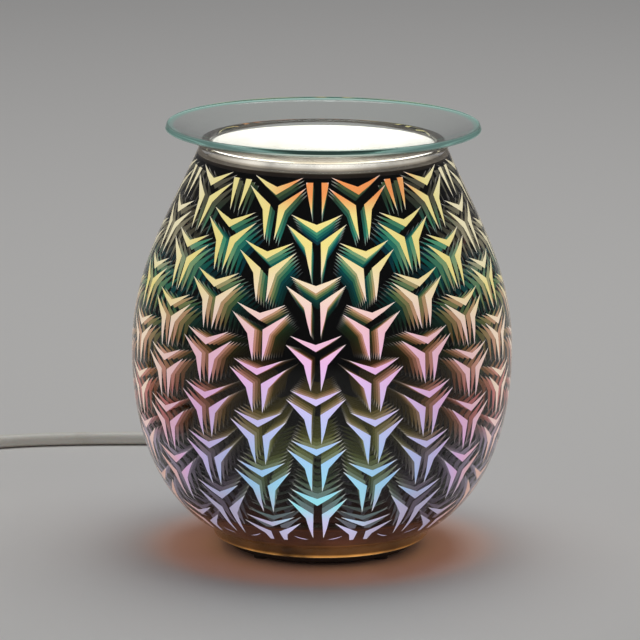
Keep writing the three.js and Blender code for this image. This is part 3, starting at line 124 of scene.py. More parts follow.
RUN_ROUTE = [*eased(0, RUN_START_Y, RUN_DOWN_Y, BOOT_Z, CORD_R), *((x, y, CORD_R) for x, y in FLOOR_BEND),
             *SWITCH_RISE]
REST_ROUTE = [*eased(SWITCH_X, LINK_START_Y, COIL_END_Y, SWITCH_CORD_Z, COIL_LOW_Z), *coil_line(),
              *eased(TAIL_X, COIL_END_Y, TAIL_LOW_Y, COIL_HIGH_Z, TAIL_LOW_Z),
              *eased(TAIL_X, TAIL_LOW_Y, TAIL_END_Y, TAIL_LOW_Z, PLUG_CORD_Z)[1:]]


def run_along(line):
    """The distance from a line's start to each of its points."""
    return np.concatenate([[0], np.cumsum(np.linalg.norm(np.diff(line, axis=0), axis=1))])


def between(start, end, t, a, b):
    """The point at t of the straight line that is at a at the start and at b at the end."""
    return (end - t) / (end - start) * a + (t - start) / (end - start) * b


def smooth_line(points, spacing):
    """A centripetal spline through the points, resampled at an even spacing along its length."""
    p = np.asarray(points, float)
    p = np.vstack([2 * p[0] - p[1], p, 2 * p[-1] - p[-2]])
    knots = np.concatenate([[0], np.cumsum(np.linalg.norm(np.diff(p, axis=0), axis=1) ** 0.5)])
    line = []
    for i in range(1, len(p) - 2):
        t = np.linspace(knots[i], knots[i + 1], SPAN_POINTS, endpoint=False)[:, None]
        k = knots[i - 1 : i + 3]
        a = [between(k[j], k[j + 1], t, p[i - 1 + j], p[i + j]) for j in range(3)]
        b = [between(k[j], k[j + 2], t, a[j], a[j + 1]) for j in range(2)]
        line.append(between(k[1], k[2], t, *b))
    line = np.vstack([*line, p[-2]])
    run = run_along(line)
    even = np.linspace(0, run[-1], max(2, int(run[-1] / spacing)) + 1)
    return np.stack([np.interp(even, run, line[:, k]) for k in range(3)], 1)


# Making meshes

SHARP_ANGLE, TINY = 35, 1e-6


def grid_quads(rows, columns, wrap_rows=False):
    """Corner numbers of the quads between neighbouring points of a grid whose columns go once
    round, wound so that a profile that runs up its outside faces outwards."""
    r, c = np.meshgrid(np.arange(rows if wrap_rows else rows - 1), np.arange(columns), indexing="ij")
    r2, c2 = (r + 1) % rows, (c + 1) % columns
    corners = [r * columns + c, r * columns + c2, r2 * columns + c2, r2 * columns + c]
    return np.stack(corners, -1).reshape(-1, 4)


def make_mesh(name, points, faces):
    """A mesh from points in millimetres."""
    mesh = bpy.data.meshes.new(name)
    mesh.from_pydata((np.asarray(points, float) * MM).tolist(), [], [list(f) for f in faces])
    return mesh


def shade(mesh, sharp=SHARP_ANGLE):
    """Smooth faces with sharp edges where they meet at more than an angle in degrees."""
    mesh.shade_smooth()
    mesh.set_sharp_from_angle(angle=math.radians(sharp))


def make_piece(name, points, faces, looks, body="base", instead_of=(), sharp=SHARP_ANGLE,
               look_of_face=None):
    """A mesh object from points in millimetres, which rides a body and stands for CAD nodes. With
    more than one look, each face has the number of its own."""
    mesh = make_mesh(name, points, faces)
    mesh.update()
    shade(mesh, sharp)
    piece = add_object(name, mesh)
    for look in looks:
        mesh.materials.append(look)
    if look_of_face is not None:
        mesh.polygons.foreach_set("material_index", np.asarray(look_of_face, np.int32))
    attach(piece, body)
    if instead_of:
        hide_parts(*instead_of)
    return piece


def fan(pole, first, steps, outwards):
    """Triangles between a pole and the ring of points that starts at a number."""
    near = np.arange(steps)
    far = (near + 1) % steps
    pair = (near, far) if outwards else (far, near)
    return np.stack([np.full(steps, pole), first + pair[0], first + pair[1]], 1).tolist()


def turned(profile, steps):
    """A profile of (radius, height) turned round Z: x = r cos a, y = r sin a. A radius of zero at
    either end becomes one pole point with a fan of triangles; otherwise the profile closes on
    itself as a ring."""
    profile = np.asarray(profile, float)
    low_pole, high_pole = profile[0, 0] < TINY, profile[-1, 0] < TINY
    inner = profile[1 if low_pole else 0 : len(profile) - (1 if high_pole else 0)]
    angle = np.arange(steps) * 2 * np.pi / steps
    x, y = inner[:, :1] * np.cos(angle), inner[:, :1] * np.sin(angle)
    points = np.stack([x, y, np.repeat(inner[:, 1:], steps, 1)], -1).reshape(-1, 3)
    faces = grid_quads(len(inner), steps, wrap_rows=not low_pole and not high_pole).tolist()
    if low_pole:
        faces += fan(len(points), 0, steps, False)
        points = np.vstack([points, [0, 0, profile[0, 1]]])
    if high_pole:
        faces += fan(len(points), (len(inner) - 1) * steps, steps, True)
        points = np.vstack([points, [0, 0, profile[-1, 1]]])
    return points, faces


def swept_round(line, radius, sides):
    """A closed round tube: at each point of the line a ring stands square to the line, in a frame
    carried along without twist."""
    a = np.arange(sides) * 2 * np.pi / sides
    across, high = radius * np.cos(a)[:, None], radius * np.sin(a)[:, None]
    along = np.gradient(line, axis=0)
    along /= np.linalg.norm(along, axis=1)[:, None]
    side = np.cross(along[0], [0, 0, 1.0])
    rings = []
    for middle, t in zip(line, along):
        side = side - t * side.dot(t)
        side /= np.linalg.norm(side)
        rings.append(middle + across * side + high * np.cross(side, t))
    faces = grid_quads(len(line), sides)[:, ::-1].tolist()
    count = len(line) * sides
    faces += fan(count, 0, sides, True) + fan(count + 1, count - sides, sides, False)
    return np.vstack([*rings, line[0], line[-1]]), faces


def arc_points(centre, radius, start, end, steps):
    """Points of an arc in the (radius, height) plane."""
    a = np.linspace(start, end, steps + 1)
    return np.stack([centre[0] + radius * np.cos(a), centre[1] + radius * np.sin(a)], 1)


# Making materials

# Noise scales are waves a metre, a range is where a mask starts and where it is full, and FLAT takes
# a point's height away.
FINER_SCALE, FINER_HEIGHT = 3.7, 0.5
LINE_SQUEEZE, FLAT = (1, 1, 40), (1, 1, 0)
MARK_RANGE, MARK_BEND, MARK_FINE_SCALE, MARK_FULL = (0.45, 0.7), 0.8, 1400, 0.6
DUST_UP, DUST_RANGE, DUST_SCALE, DUST_COLOR = (0.3, 1.0), (0.42, 0.75), 520, (0.42, 0.4, 0.37, 1)
RUB_TURN, RUB_MOST, RUB_SAMPLES = (0.995, 0.86), 0.7, 6
STREAK_SCALE, STREAK_RANGE = 70, (0.3, 0.7)
TIP_RANGE = 0.35, 1.0
FACET_SCALE, FACET_DEPTH, RING_SCALE, RING_LIGHT = 330, 0.5, 260.0, (0.6, 1.1)


def node(tree, kind, inputs=None, **settings):
    """A node with its settings. An input, by name or number, takes a value or another's output."""
    made = tree.nodes.new(kind if kind.startswith("Node") else "ShaderNode" + kind)
    for key, value in settings.items():
        setattr(made, key, value)
    for key, value in (inputs or {}).items():
        if isinstance(value, bpy.types.NodeSocket):
            tree.links.new(value, made.inputs[key])
        else:
            made.inputs[key].default_value = value
    return made


def calc(tree, operation, *values):
    """The output of a Math node."""
    return node(tree, "Math", dict(enumerate(values)), operation=operation).outputs[0]


def vector_calc(tree, operation, *values):
    """The output of a Vector Math node, a number for a product or a length."""
    made = node(tree, "VectorMath", dict(enumerate(values)), operation=operation)
    return made.outputs["Value" if operation in ("DOT_PRODUCT", "LENGTH") else "Vector"]


def dimmed(tree, color, share):
    """A colour times a number."""
    return node(tree, "VectorMath", {0: color, "Scale": share}, operation="SCALE").outputs[0]


def fit(tree, value, low, high, to_low=0.0, to_high=1.0, kind="LINEAR"):
    """A value fitted from one range to another and kept in it."""
    inputs = {0: value, 1: low, 2: high, 3: to_low, 4: to_high}
    return node(tree, "MapRange", inputs, interpolation_type=kind).outputs[0]


def mix_color(tree, share, first, second, blend="MIX"):
    """A share of the second colour over the first."""
    inputs = {0: share, 6: first, 7: second}
    return node(tree, "Mix", inputs, data_type="RGBA", blend_type=blend).outputs[2]


def place_of(tree):
    """The point's own coordinates on its piece."""
    return node(tree, "TexCoord").outputs["Object"]


def height_of(tree, vector):
    """The Z part of a vector."""
    return node(tree, "SeparateXYZ", {0: vector}).outputs[2]


def noise(tree, scale, detail, distortion=0.0, place=None):
    """The height of a noise at a place, or at the point's own coordinates."""
    place = place_of(tree) if place is None else place
    inputs = {0: place, "Scale": scale, "Detail": detail, "Distortion": distortion}
    return node(tree, "TexNoise", inputs).outputs[0]


def attribute(tree, name):
    """A number that the piece's points carry."""
    return node(tree, "Attribute", attribute_name=name).outputs["Fac"]


def through(tree, group, value):
    """What a node group gives for a value."""
    return node(tree, "Group", {0: value}, node_tree=group).outputs[0]


def ramp(tree, value, stops, unit=1.0):
    """A colour ramp over a value, with its stops as (place, colour) in the given unit."""
    low, high = stops[0][0], stops[-1][0]
    made = node(tree, "ValToRGB", {0: fit(tree, value, low * unit, high * unit)})
    elements = made.color_ramp.elements
    for i, (place, color) in enumerate(stops):
        share = (place - low) / (high - low)
        stop = elements[i] if i < 2 else elements.new(share)
        stop.position = share
        stop.color = (*color, 1)
    return made.outputs[0]


def make_group(name, given, result, build, kind="Float"):
    """A node group of one input and one output, with the nodes that the build function adds."""
    group = bpy.data.node_groups.new(name, "ShaderNodeTree")
    group.interface.new_socket(given, in_out="INPUT", socket_type="NodeSocket" + kind)
    group.interface.new_socket(result, in_out="OUTPUT", socket_type="NodeSocket" + kind)
    start = node(group, "NodeGroupInput")
    node(group, "NodeGroupOutput", {0: build(group, start.outputs[0])})
    return group


def grain_height(tree, scale):
    """Height of a moulded or sintered skin: a noise at the given scale plus a finer one at half
    its height."""
    finer = noise(tree, calc(tree, "MULTIPLY", scale, FINER_SCALE), 1.0)
    return calc(tree, "MULTIPLY_ADD", finer, FINER_HEIGHT, noise(tree, scale, 3.0))


def line_height(tree, scale):
    """Height of metal that was drawn, rolled or turned: a noise squeezed fortyfold along Z, so that
    it runs in fine lines."""
    return noise(tree, scale, 4.0, place=vector_calc(tree, "MULTIPLY", place_of(tree), LINE_SQUEEZE))


def mark_mask(tree, scale):
    """Mask of rubs and finger marks: clouds of a bent noise, cut off below its middle, broken up by
    a finer one."""
    clouds = fit(tree, noise(tree, scale, 4.0, MARK_BEND), *MARK_RANGE, kind="SMOOTHSTEP")
    return calc(tree, "MULTIPLY", clouds, noise(tree, MARK_FINE_SCALE, 2.0))


def dust_mask(tree, amount):
    """Mask of dust: how far a face looks up, times a speckled noise, times the given amount."""
    up = fit(tree, height_of(tree, node(tree, "NewGeometry").outputs["Normal"]), *DUST_UP)
    specks = fit(tree, noise(tree, DUST_SCALE, 5.0), *DUST_RANGE)
    return calc(tree, "MULTIPLY", calc(tree, "MULTIPLY", up, specks), amount)


fine_grain = make_group("fine_grain", "Scale", "Height", grain_height)
drawn_lines = make_group("drawn_lines", "Scale", "Height", line_height)
hand_marks = make_group("hand_marks", "Scale", "Mask", mark_mask)
settled_dust = make_group("settled_dust", "Amount", "Mask", dust_mask)


def shader_of(material):
    """The material's Principled shader."""
    return material.node_tree.nodes["Principled BSDF"]


def feed(material, socket, source):
    """Links an output to one of the material's sockets."""
    material.node_tree.links.new(source, shader_of(material).inputs[socket])


def plain(name, color, rough, metal=0.0, **sockets):
    """A Principled material with even values."""
    material = bpy.data.materials.new(name)
    material.use_nodes = True
    values = {"Base Color": (*color, 1), "Roughness": rough, "Metallic": metal, **sockets}
    for key, value in values.items():
        shader_of(material).inputs[key.replace("_", " ")].default_value = value
    return material


def dress(name, color, rough, grain, marks, patch=None, dust=0.0, drawn=False, edge=0.0, **sockets):
    """A finish with its detail: marks that go from the material's colour towards the patch colour
    and raise its roughness, a grain of a depth in millimetres as bump, dust on what faces up, and
    edges that are rounded to the given radius in millimetres and rubbed like the marks."""
    material = plain(name, color, rough, **sockets)
    tree = material.node_tree
    rubbed = through(tree, hand_marks, marks[0])
    relief = {"Distance": grain[1] * MM}
    if edge:
        relief["Normal"] = node(tree, "Bevel", {0: edge * MM}, samples=RUB_SAMPLES).outputs[0]
        flat = node(tree, "NewGeometry").outputs["Normal"]
        turn = vector_calc(tree, "DOT_PRODUCT", relief["Normal"], flat)
        rubbed = calc(tree, "MAXIMUM", fit(tree, turn, *RUB_TURN, 0.0, RUB_MOST), rubbed)
    feed(material, "Roughness", fit(tree, rubbed, 0.0, MARK_FULL, rough, min(1, rough + marks[1])))
    if patch is not None:
        worn = mix_color(tree, rubbed, (*color, 1), (*patch, 1))
        if dust:
            worn = mix_color(tree, through(tree, settled_dust, dust), worn, DUST_COLOR)
        feed(material, "Base Color", worn)
    relief["Height"] = through(tree, drawn_lines if drawn else fine_grain, grain[0])
    feed(material, "Normal", node(tree, "Bump", relief).outputs[0])
    return material


def srgb(code):
    """A colour written as six hex digits, as linear light."""
    c = np.array([int(code[i : i + 2], 16) for i in (0, 2, 4)]) / 255
    return np.where(c <= 0.04045, c / 12.92, ((c + 0.055) / 1.055) ** 2.4)


def make_wash(name, blend, code, bearing, leans, heights, sides="ABSOLUTE"):
    """A group that mixes a colour into the light, adds it or multiplies by it: a mask over height
    times a mask over how far a point's bearing leans from a line at the front, which counts for
    front and back alike, or with MAXIMUM for the front alone."""

    def build(tree, light):
        unit = vector_calc(tree, "NORMALIZE", vector_calc(tree, "MULTIPLY", place_of(tree), FLAT))
        lean = vector_calc(tree, "DOT_PRODUCT", unit, (math.sin(bearing), -math.cos(bearing), 0))
        ahead = fit(tree, calc(tree, sides, lean, 0.0), *leans, kind="SMOOTHSTEP")
        low, high = heights
        risen = fit(tree, height_of(tree, place_of(tree)), low * MM, high * MM, kind="SMOOTHSTEP")
        return mix_color(tree, calc(tree, "MULTIPLY", ahead, risen), light, (*srgb(code), 1), blend)

    return make_group(name, "Light", "Light", build, "Color")


# Cords

CORD_LOOK = dress("sheath_ivory", (0.74, 0.72, 0.66), 0.42, (700, 0.03), (35, 0.2), (0.6, 0.57, 0.5), 0.12,
                  Subsurface_Weight=0.06)


def make_cord(name, route, stands_for):
    """A round sheath along its route, in place of the cord's CAD nodes, which it hides."""
    line = smooth_line(route, CORD_SPACING)
    points, faces = swept_round(line, CORD_R, CORD_SIDES)
    piece = make_piece(name, points, faces, [CORD_LOOK], "base", stands_for)


make_cord("cord_from_base", RUN_ROUTE, ["cord_run"])
make_cord("cord_to_plug", REST_ROUTE, ["cord_link", "cord_coil", "cord_tail"])

# The jar's wall as numbers

JAR_Z = 2.8
JAR_WALL, JAR_FLOOR, JAR_BORE_R = 3.5, 9.7, 29.0
FOOT_R, FOOT_Z, BELLY_R, BELLY_Z, NECK_R = 37.9, 4.6, 66.4, 67, 42.9
NECK_ANGLE, FLARE_ANGLE = 0.41, 0.46
NECK_PULL, FLARE_PULL, LOW_PULL_Z, HIGH_PULL_Z = 27.8, 19.3, 34.8, 96
LIP_Z = 140.2 - JAR_WALL / 2 * (1 - math.sin(NECK_ANGLE))
LOWER_CURVE = [(FOOT_R, FOOT_Z),
               (FOOT_R + FLARE_PULL * math.cos(FLARE_ANGLE), FOOT_Z + FLARE_PULL * math.sin(FLARE_ANGLE)),
               (BELLY_R, LOW_PULL_Z), (BELLY_R, BELLY_Z)]
UPPER_CURVE = [(BELLY_R, BELLY_Z), (BELLY_R, HIGH_PULL_Z),
               (NECK_R + NECK_PULL * math.sin(NECK_ANGLE), LIP_Z - NECK_PULL * math.cos(NECK_ANGLE)),
               (NECK_R, LIP_Z)]
WALL_STEPS = 400


def curve_points(corners, steps):
    """A cubic curve through four control corners: the usual blend of t and 1 - t."""
    t = np.linspace(0, 1, steps + 1)[:, None]
    a, b, c, d = np.asarray(corners, float)
    return a * (1 - t) ** 3 + 3 * b * t * (1 - t) ** 2 + 3 * c * t * t * (1 - t) + d * t**3


def wall_line(steps):
    """The jar's outside from foot to lip: (radius, height) points with outward normals."""
    line = np.vstack([curve_points(LOWER_CURVE, steps)[:-1], curve_points(UPPER_CURVE, steps)])
    along = np.gradient(line, axis=0)
    along /= np.linalg.norm(along, axis=1)[:, None]
    return line, np.stack([along[:, 1], -along[:, 0]], 1)


WALL, WALL_NORMAL = wall_line(WALL_STEPS)
WALL_RUN = run_along(WALL)


def on_wall(run, depth):
    """Radius and world height of the point a given run up the wall and a depth behind its outside,
    measured square to the wall."""
    r = np.interp(run, WALL_RUN, WALL[:, 0]) - depth * np.interp(run, WALL_RUN, WALL_NORMAL[:, 0])
    z = np.interp(run, WALL_RUN, WALL[:, 1]) - depth * np.interp(run, WALL_RUN, WALL_NORMAL[:, 1])
    return r, z + JAR_Z


def run_at(height):
    """The run up the wall at which its outside reaches a world height."""
    return np.interp(height - JAR_Z, WALL[:, 1], WALL_RUN)


def radius_at(height, depth=JAR_WALL):
    """Radius at a world height of the surface a depth behind the wall's outside."""
    r, z = on_wall(WALL_RUN, depth)
    return float(np.interp(height, z, r))


# Glass jar

JAR_STEPS, JAR_RINGS, LIP_STEPS = 192, 56, 12
NOTCH_HALF, NOTCH_Z, NOTCH_LOW, NOTCH_NEAR_Y, NOTCH_LONG, NOTCH_STEPS = 4.9, 6.0, -12, 22.0, 40.0, 24
INSIDE_CORNER_Z = JAR_FLOOR + 4.2
FLOOR_CORNER = [(-1.6, 2.6), (-4.4, 1.0), (-8.2, 0.15)]
FLOOR_FLAT_R = 34
JAR_FOOT = [(JAR_BORE_R, JAR_FLOOR), (JAR_BORE_R, 0.4), (JAR_BORE_R + 0.4, 0), (32.6, 0), (33.6, 0.2),
            (36.4, 1.2), (37.5, 1.9), (FOOT_R, 2.8), (FOOT_R, 3.7)]
GLASS_CLEAR = dress("glass_clear", (1, 1, 1), 0.0, (38, 0.05), (45, 0.02), IOR=1.47, Transmission_Weight=1.0,
                    Specular_IOR_Level=0.3, Sheen_Weight=0.9, Sheen_Roughness=0.1,
                    Sheen_Tint=(1, 0.7, 0.42, 1))


def notch_cutter():
    """A slot along Y with a half-round top, where the cord's boot leaves through the jar's foot."""
    arch = arc_points((0, 0), NOTCH_HALF, 0, math.pi, NOTCH_STEPS)
    outline = np.vstack([(NOTCH_HALF, NOTCH_LOW), arch, (-NOTCH_HALF, NOTCH_LOW)])
    count = len(outline)
    near = np.stack([outline[:, 0], np.full(count, NOTCH_NEAR_Y), outline[:, 1] + NOTCH_Z], 1)
    i = np.arange(count)
    j = (i + 1) % count
    faces = np.stack([i, j, j + count, i + count], 1)[:, ::-1].tolist()
    faces += [i.tolist(), (i[::-1] + count).tolist()]
    mesh = make_mesh("notch", np.vstack([near, near + [0, NOTCH_LONG, 0]]), faces)
    work = bmesh.new()
    work.from_mesh(mesh)
    bmesh.ops.recalc_face_normals(work, faces=work.faces)
    work.to_mesh(mesh)
    work.free()
    return add_object("notch", mesh)


def cut_away(piece, cutter):
    """Takes the cutter's shape out of the piece and keeps the result as its mesh."""
    cut = piece.modifiers.new("cut", "BOOLEAN")
    cut.operation, cut.solver, cut.object = "DIFFERENCE", "EXACT", cutter
    bpy.context.view_layer.update()
    result = bpy.data.meshes.new_from_object(piece.evaluated_get(bpy.context.evaluated_depsgraph_get()))
    piece.modifiers.remove(cut)
    old = piece.data
    piece.data = result
    bpy.data.meshes.remove(old)
    bpy.data.objects.remove(cutter)
    result.name = piece.name
    shade(result)


def inside_line(steps, sunk=0.0):
    """The jar's inside from under the lip down to the bore, a wall's thickness behind the outside
    with a round corner at its floor, sunk a given distance into the glass."""
    line, normal = wall_line(steps)
    wall = (line - normal * (JAR_WALL - sunk))[::-1][1:]
    wall = wall[wall[:, 1] > INSIDE_CORNER_Z]
    corner = [(wall[-1, 0] + across, JAR_FLOOR + up - sunk) for across, up in FLOOR_CORNER]
    return np.vstack([wall, corner, (FLOOR_FLAT_R, JAR_FLOOR - sunk)])


def make_jar():
    """The jar's glass: outside up the wall, a round lip, the inside down to a dished floor, and the
    bore that sits over the base."""
    outside, normal = wall_line(JAR_RINGS)
    lip_middle = outside[-1] - normal[-1] * JAR_WALL / 2
    lip_angle = math.atan2(normal[-1, 1], normal[-1, 0])
    lip = arc_points(lip_middle, JAR_WALL / 2, lip_angle, lip_angle + math.pi, LIP_STEPS)[1:]
    profile = np.vstack([outside, lip, inside_line(JAR_RINGS), JAR_FOOT])
    points, faces = turned(profile + [0, JAR_Z], JAR_STEPS)
    jar = make_piece("jar_glass_wall", points, faces, [GLASS_CLEAR], "base", ["glass_jar"])
    cut_away(jar, notch_cutter())


make_jar()

# Looks of the mirrored wall

LINING_DARK = dress("lining_dark", (0.003, 0.003, 0.004), 0.7, (300, 0.01), (120, 0.1),
                    Specular_IOR_Level=0.1)
# Painted lamp light: a dim amber glow on the inside of the lining's curl at the foot.
LINING_AMBER_GLOW = dress("lining_amber_glow", (0.05, 0.02, 0.008), 0.5, (300, 0.01), (90, 0.2), (0.03, 0.012, 0.006),
                     Emission_Color=(0.3, 0.09, 0.03, 1), Emission_Strength=0.2)
GLASS_DEPTH = dress("glass_depth", (1, 1, 1), 0.0, (38, 0.01), (45, 0.003), IOR=1.3, Transmission_Weight=1.0)
FILM_CLEAR = dress("film_clear", (0.01, 0.01, 0.01), 0.3, (300, 0.01), (120, 0.2), Alpha=0.0)
FILM_BLACK = dress("film_black", (0.006, 0.006, 0.006), 0.4, (300, 0.01), (120, 0.2))


def hide_back(material):
    """Shows a closed skin's faces from their front only."""
    tree = material.node_tree
    feed(material, "Alpha", calc(tree, "SUBTRACT", 1.0, node(tree, "NewGeometry").outputs["Backfacing"]))


hide_back(FILM_BLACK)


def band_light(name, stops, by_radius=False, strength=1.0, streak=(0.55, 1.25)):
    """A dark band with painted light whose colour follows a ramp of (millimetres, colour) over its height,
    or over its distance from the axis, broken up by soft streaks."""
    material = dress(name, (0.012, 0.009, 0.007), 0.4, (300, 0.01), (90, 0.2), Emission_Strength=strength)
    tree = material.node_tree
    place = place_of(tree)
    flat = vector_calc(tree, "MULTIPLY", place, FLAT) if by_radius else None
    measure = vector_calc(tree, "LENGTH", flat) if by_radius else height_of(tree, place)
    share = fit(tree, noise(tree, STREAK_SCALE, 4.0), *STREAK_RANGE, *streak)
    feed(material, "Emission Color", dimmed(tree, ramp(tree, measure, stops, MM), share))
    return material


# Painted lamp light on the lining's inside, brighter towards the top.
LINING_GLOW = band_light("lining_glow", [
    (20.0, (0.12, 0.055, 0.02)), (80.0, (0.32, 0.22, 0.11)), (112.0, (0.55, 0.47, 0.35)),
    (122.0, (0.9, 0.84, 0.7)), (141.0, (1, 0.96, 0.88)),
], strength=1.9, streak=(0.9, 1.1))
# Painted shade: the lining's outside, black for the dark depth behind the echoes, with a faint painted red
# glow near the foot.
LINING_SHADE = band_light("lining_shade", [
    (17.5, (0.024, 0.009, 0.006)), (22.0, (0.016, 0.006, 0.004)), (30.0, (0.004, 0.002, 0.002)),
    (45.0, (0, 0, 0)),
])
# Painted lamp light on the lining's top edge under the lip.
LINING_LIP_GLOW = band_light("lining_lip_glow", [
    (139.3, (0.06, 0.05, 0.035)), (140.4, (0.45, 0.4, 0.32)), (141.0, (0.95, 0.9, 0.8)),
])
# Painted lamp light coming through the lip, on the film's band under it and on the lip stop.
LIP_LIGHT = band_light("lip_light", [
    (137.6, (0.006, 0.004, 0.003)), (138.6, (0.013, 0.009, 0.006)), (139.3, (0.022, 0.016, 0.01)),
    (139.8, (0.05, 0.04, 0.03)), (140.2, (0.15, 0.13, 0.1)), (140.6, (0.42, 0.39, 0.33)),
])
# Painted lamp light through the jar's floor, on the film's floor: amber near the bore, dim further out.
FOOT_LIGHT = band_light("foot_light", [
    (33.5, (0.2, 0.07, 0.02)), (35.5, (0.06, 0.017, 0.009)), (44.0, (0.035, 0.011, 0.007)),
    (52.0, (0.012, 0.006, 0.005)),
], by_radius=True)
# Painted glint: the lamp's light caught in the thick foot, bright amber at its lower edge.
FOOT_GLINT_LIGHT = band_light("foot_glint_light", [
    (4.2, (0.75, 0.4, 0.13)), (4.75, (0.5, 0.22, 0.05)), (5.3, (0.075, 0.03, 0.008)),
    (8.0, (0.055, 0.022, 0.007)), (12.0, (0.04, 0.012, 0.007)), (17.0, (0.022, 0.008, 0.005)),
], streak=(0.1, 1.7))

# Lining, film and clear matter of the mirrored wall

CORE_Z = [18.0, 22.0, 58.0, 72.0, 128.0, 136.8, 139.2]
CORE_R = [38.5, 30.6, 30.6, 35.2, 35.2, 35.6, 38.9]
CORE_STEPS, FILM_STEPS, FILM_RINGS, DEPTH_STEPS, DEPTH_RINGS = 96, 160, 80, 128, 60
CORE_OUTSIDE = [(radius_at(17.8) - 0.2, 17.8), (36.5, 18.6), (31.6, 21), (30.6, 25), (30.6, 58), (31.2, 60.5),
                (34.6, 69.5), (35.2, 72.5), (35.2, 128.0), (35.6, 136.6), (38.6, 139.0),
                (radius_at(139.6) - 0.3, 139.6), (radius_at(140.9) - 0.3, 140.9)]
CORE_INSIDE = [(radius_at(140.9) - 0.8, 141.0), (38.4, 139.9), (34.9, 137.4), (34.5, 128.0), (34.5, 73.2),
               (33.9, 70.0), (30.5, 61.2), (29.8, 58.4), (29.8, 25.2), (30.8, 20.6), (36.2, 18.0),
               (radius_at(17.6) - 0.4, 17.4)]
BAND_Z, FOOT_BAND_Z, LIP_STOP_Z = 137.8, 17.6, 139.9
LEAF = 0.12
FILM_SUNK = 0.12, 0.05
LIP_STOP_DEPTHS = 0.35, 3.3
GLINT_START, GLINT_Z, GLINT_DEPTH = [(36.1, 4.2), (36.5, 5.0)], [4, 11], [1.2, 3.3]
GLINT_FIRST, GLINT_EVERY, GLINT_TOP_Z = 8, 12, FOOT_BAND_Z - 1
DEPTH_LOW_Z, DEPTH_HIGH_Z, DEPTH_SUNK, DEPTH_GAP = 18.6, 139.4, 0.02, 0.3
DEPTH_Z = np.array([139.0, 136.8, 128, 100, 73, 68, 62, 58, 40, 25, 21, 19.2])


def core_radius(z):
    """Outside radius of the dark core at a height: straight lines between its corners."""
    return np.interp(z, CORE_Z, CORE_R)


def make_core():
    """A thin closed lining that stands behind every echo. Towards the glass it is black, painted shade for
    the dark depth behind the echoes, with a faint painted red glow near the foot; at its top edge under the
    lip and towards the lamp it carries painted lamp light. Its ends curl out to the jar's inside at the foot
    and under the lip."""
    points, faces = turned(CORE_OUTSIDE + CORE_INSIDE, CORE_STEPS)
    lip_row, glow_row = len(CORE_OUTSIDE) - 2, len(CORE_OUTSIDE)
    amber_row = glow_row + len(CORE_INSIDE) - 3
    row = np.arange(len(faces)) // CORE_STEPS
    look = np.searchsorted([lip_row, glow_row, amber_row], row, side="right")
    make_piece("shade_and_glow_lining", points, faces, [LINING_SHADE, LINING_LIP_GLOW, LINING_GLOW, LINING_AMBER_GLOW],
               look_of_face=look)


def make_mirror_film():
    """The mirrored film on the jar's inside, as a closed skin a tenth of a millimetre thick: clear
    from the glass, so that the echoes show through it, and black from the inside. A band under the lip,
    which has no pattern, and the jar's floor are closed from both sides and carry painted lamp light
    towards the glass."""
    outer = inside_line(FILM_RINGS, FILM_SUNK[0])[::-1] + [0, JAR_Z]
    inner = inside_line(FILM_RINGS, FILM_SUNK[1]) + [0, JAR_Z]
    points, faces = turned(np.vstack([outer, inner]), FILM_STEPS)
    clear, black, lip, foot = range(4)
    middle = (outer[:-1, 1] + outer[1:, 1]) / 2
    front = np.where(middle > BAND_Z, lip, np.where(middle < FOOT_BAND_Z, foot, clear))
    look = np.repeat(np.concatenate([front, np.full(len(inner) + 1, black)]), FILM_STEPS)
    make_piece("mirror_film", points, faces, [FILM_CLEAR, FILM_BLACK, LIP_LIGHT, FOOT_LIGHT], sharp=180,
               look_of_face=look)


def make_mirror_depth():
    """The space that the mirrored wall seems to hold, as a closed ring of clear matter from the
    jar's inside to the lining, which bends the view so that echoes crowd together at the sides."""
    outer = inside_line(DEPTH_RINGS, DEPTH_SUNK)[::-1] + [0, JAR_Z]
    outer = outer[(outer[:, 1] > DEPTH_LOW_Z) & (outer[:, 1] < DEPTH_HIGH_Z)]
    inner = np.stack([core_radius(DEPTH_Z) - DEPTH_GAP, DEPTH_Z], 1)
    points, faces = turned(np.vstack([outer, inner]), DEPTH_STEPS)
    make_piece("mirror_depth", points, faces, [GLASS_DEPTH])


def make_lip_stop():
    """The film's edge turned over under the lip: a thin closed ring across the wall, so that the pattern
    doesn't show up through the lip. It carries the painted lamp light of the band under the lip."""
    low, high = LIP_STOP_Z, LIP_STOP_Z + LEAF
    outer, inner = (radius_at(LIP_STOP_Z, depth) for depth in LIP_STOP_DEPTHS)
    points, faces = turned([(outer, low), (outer, high), (inner, high), (inner, low)], FILM_STEPS)
    make_piece("lip_stop", points, faces, [LIP_LIGHT])


def make_foot_glint():
    """The light caught in the jar's thick foot: a thin closed ring that stands inside the glass and
    follows its outside, amber along its lower edge and brown above."""
    wall = np.stack(on_wall(WALL_RUN, np.interp(WALL[:, 1], GLINT_Z, GLINT_DEPTH)), 1)
    low = wall[wall[:, 1] < GLINT_TOP_Z]
    outer = np.vstack([GLINT_START, low[GLINT_FIRST::GLINT_EVERY]])
    points, faces = turned(np.vstack([outer, (outer - [LEAF, 0])[::-1]]), FILM_STEPS)
    make_piece("foot_glint", points, faces, [FOOT_GLINT_LIGHT])


make_core()
make_mirror_film()
make_mirror_depth()
make_lip_stop()
make_foot_glint()

# Shapes of the light pattern

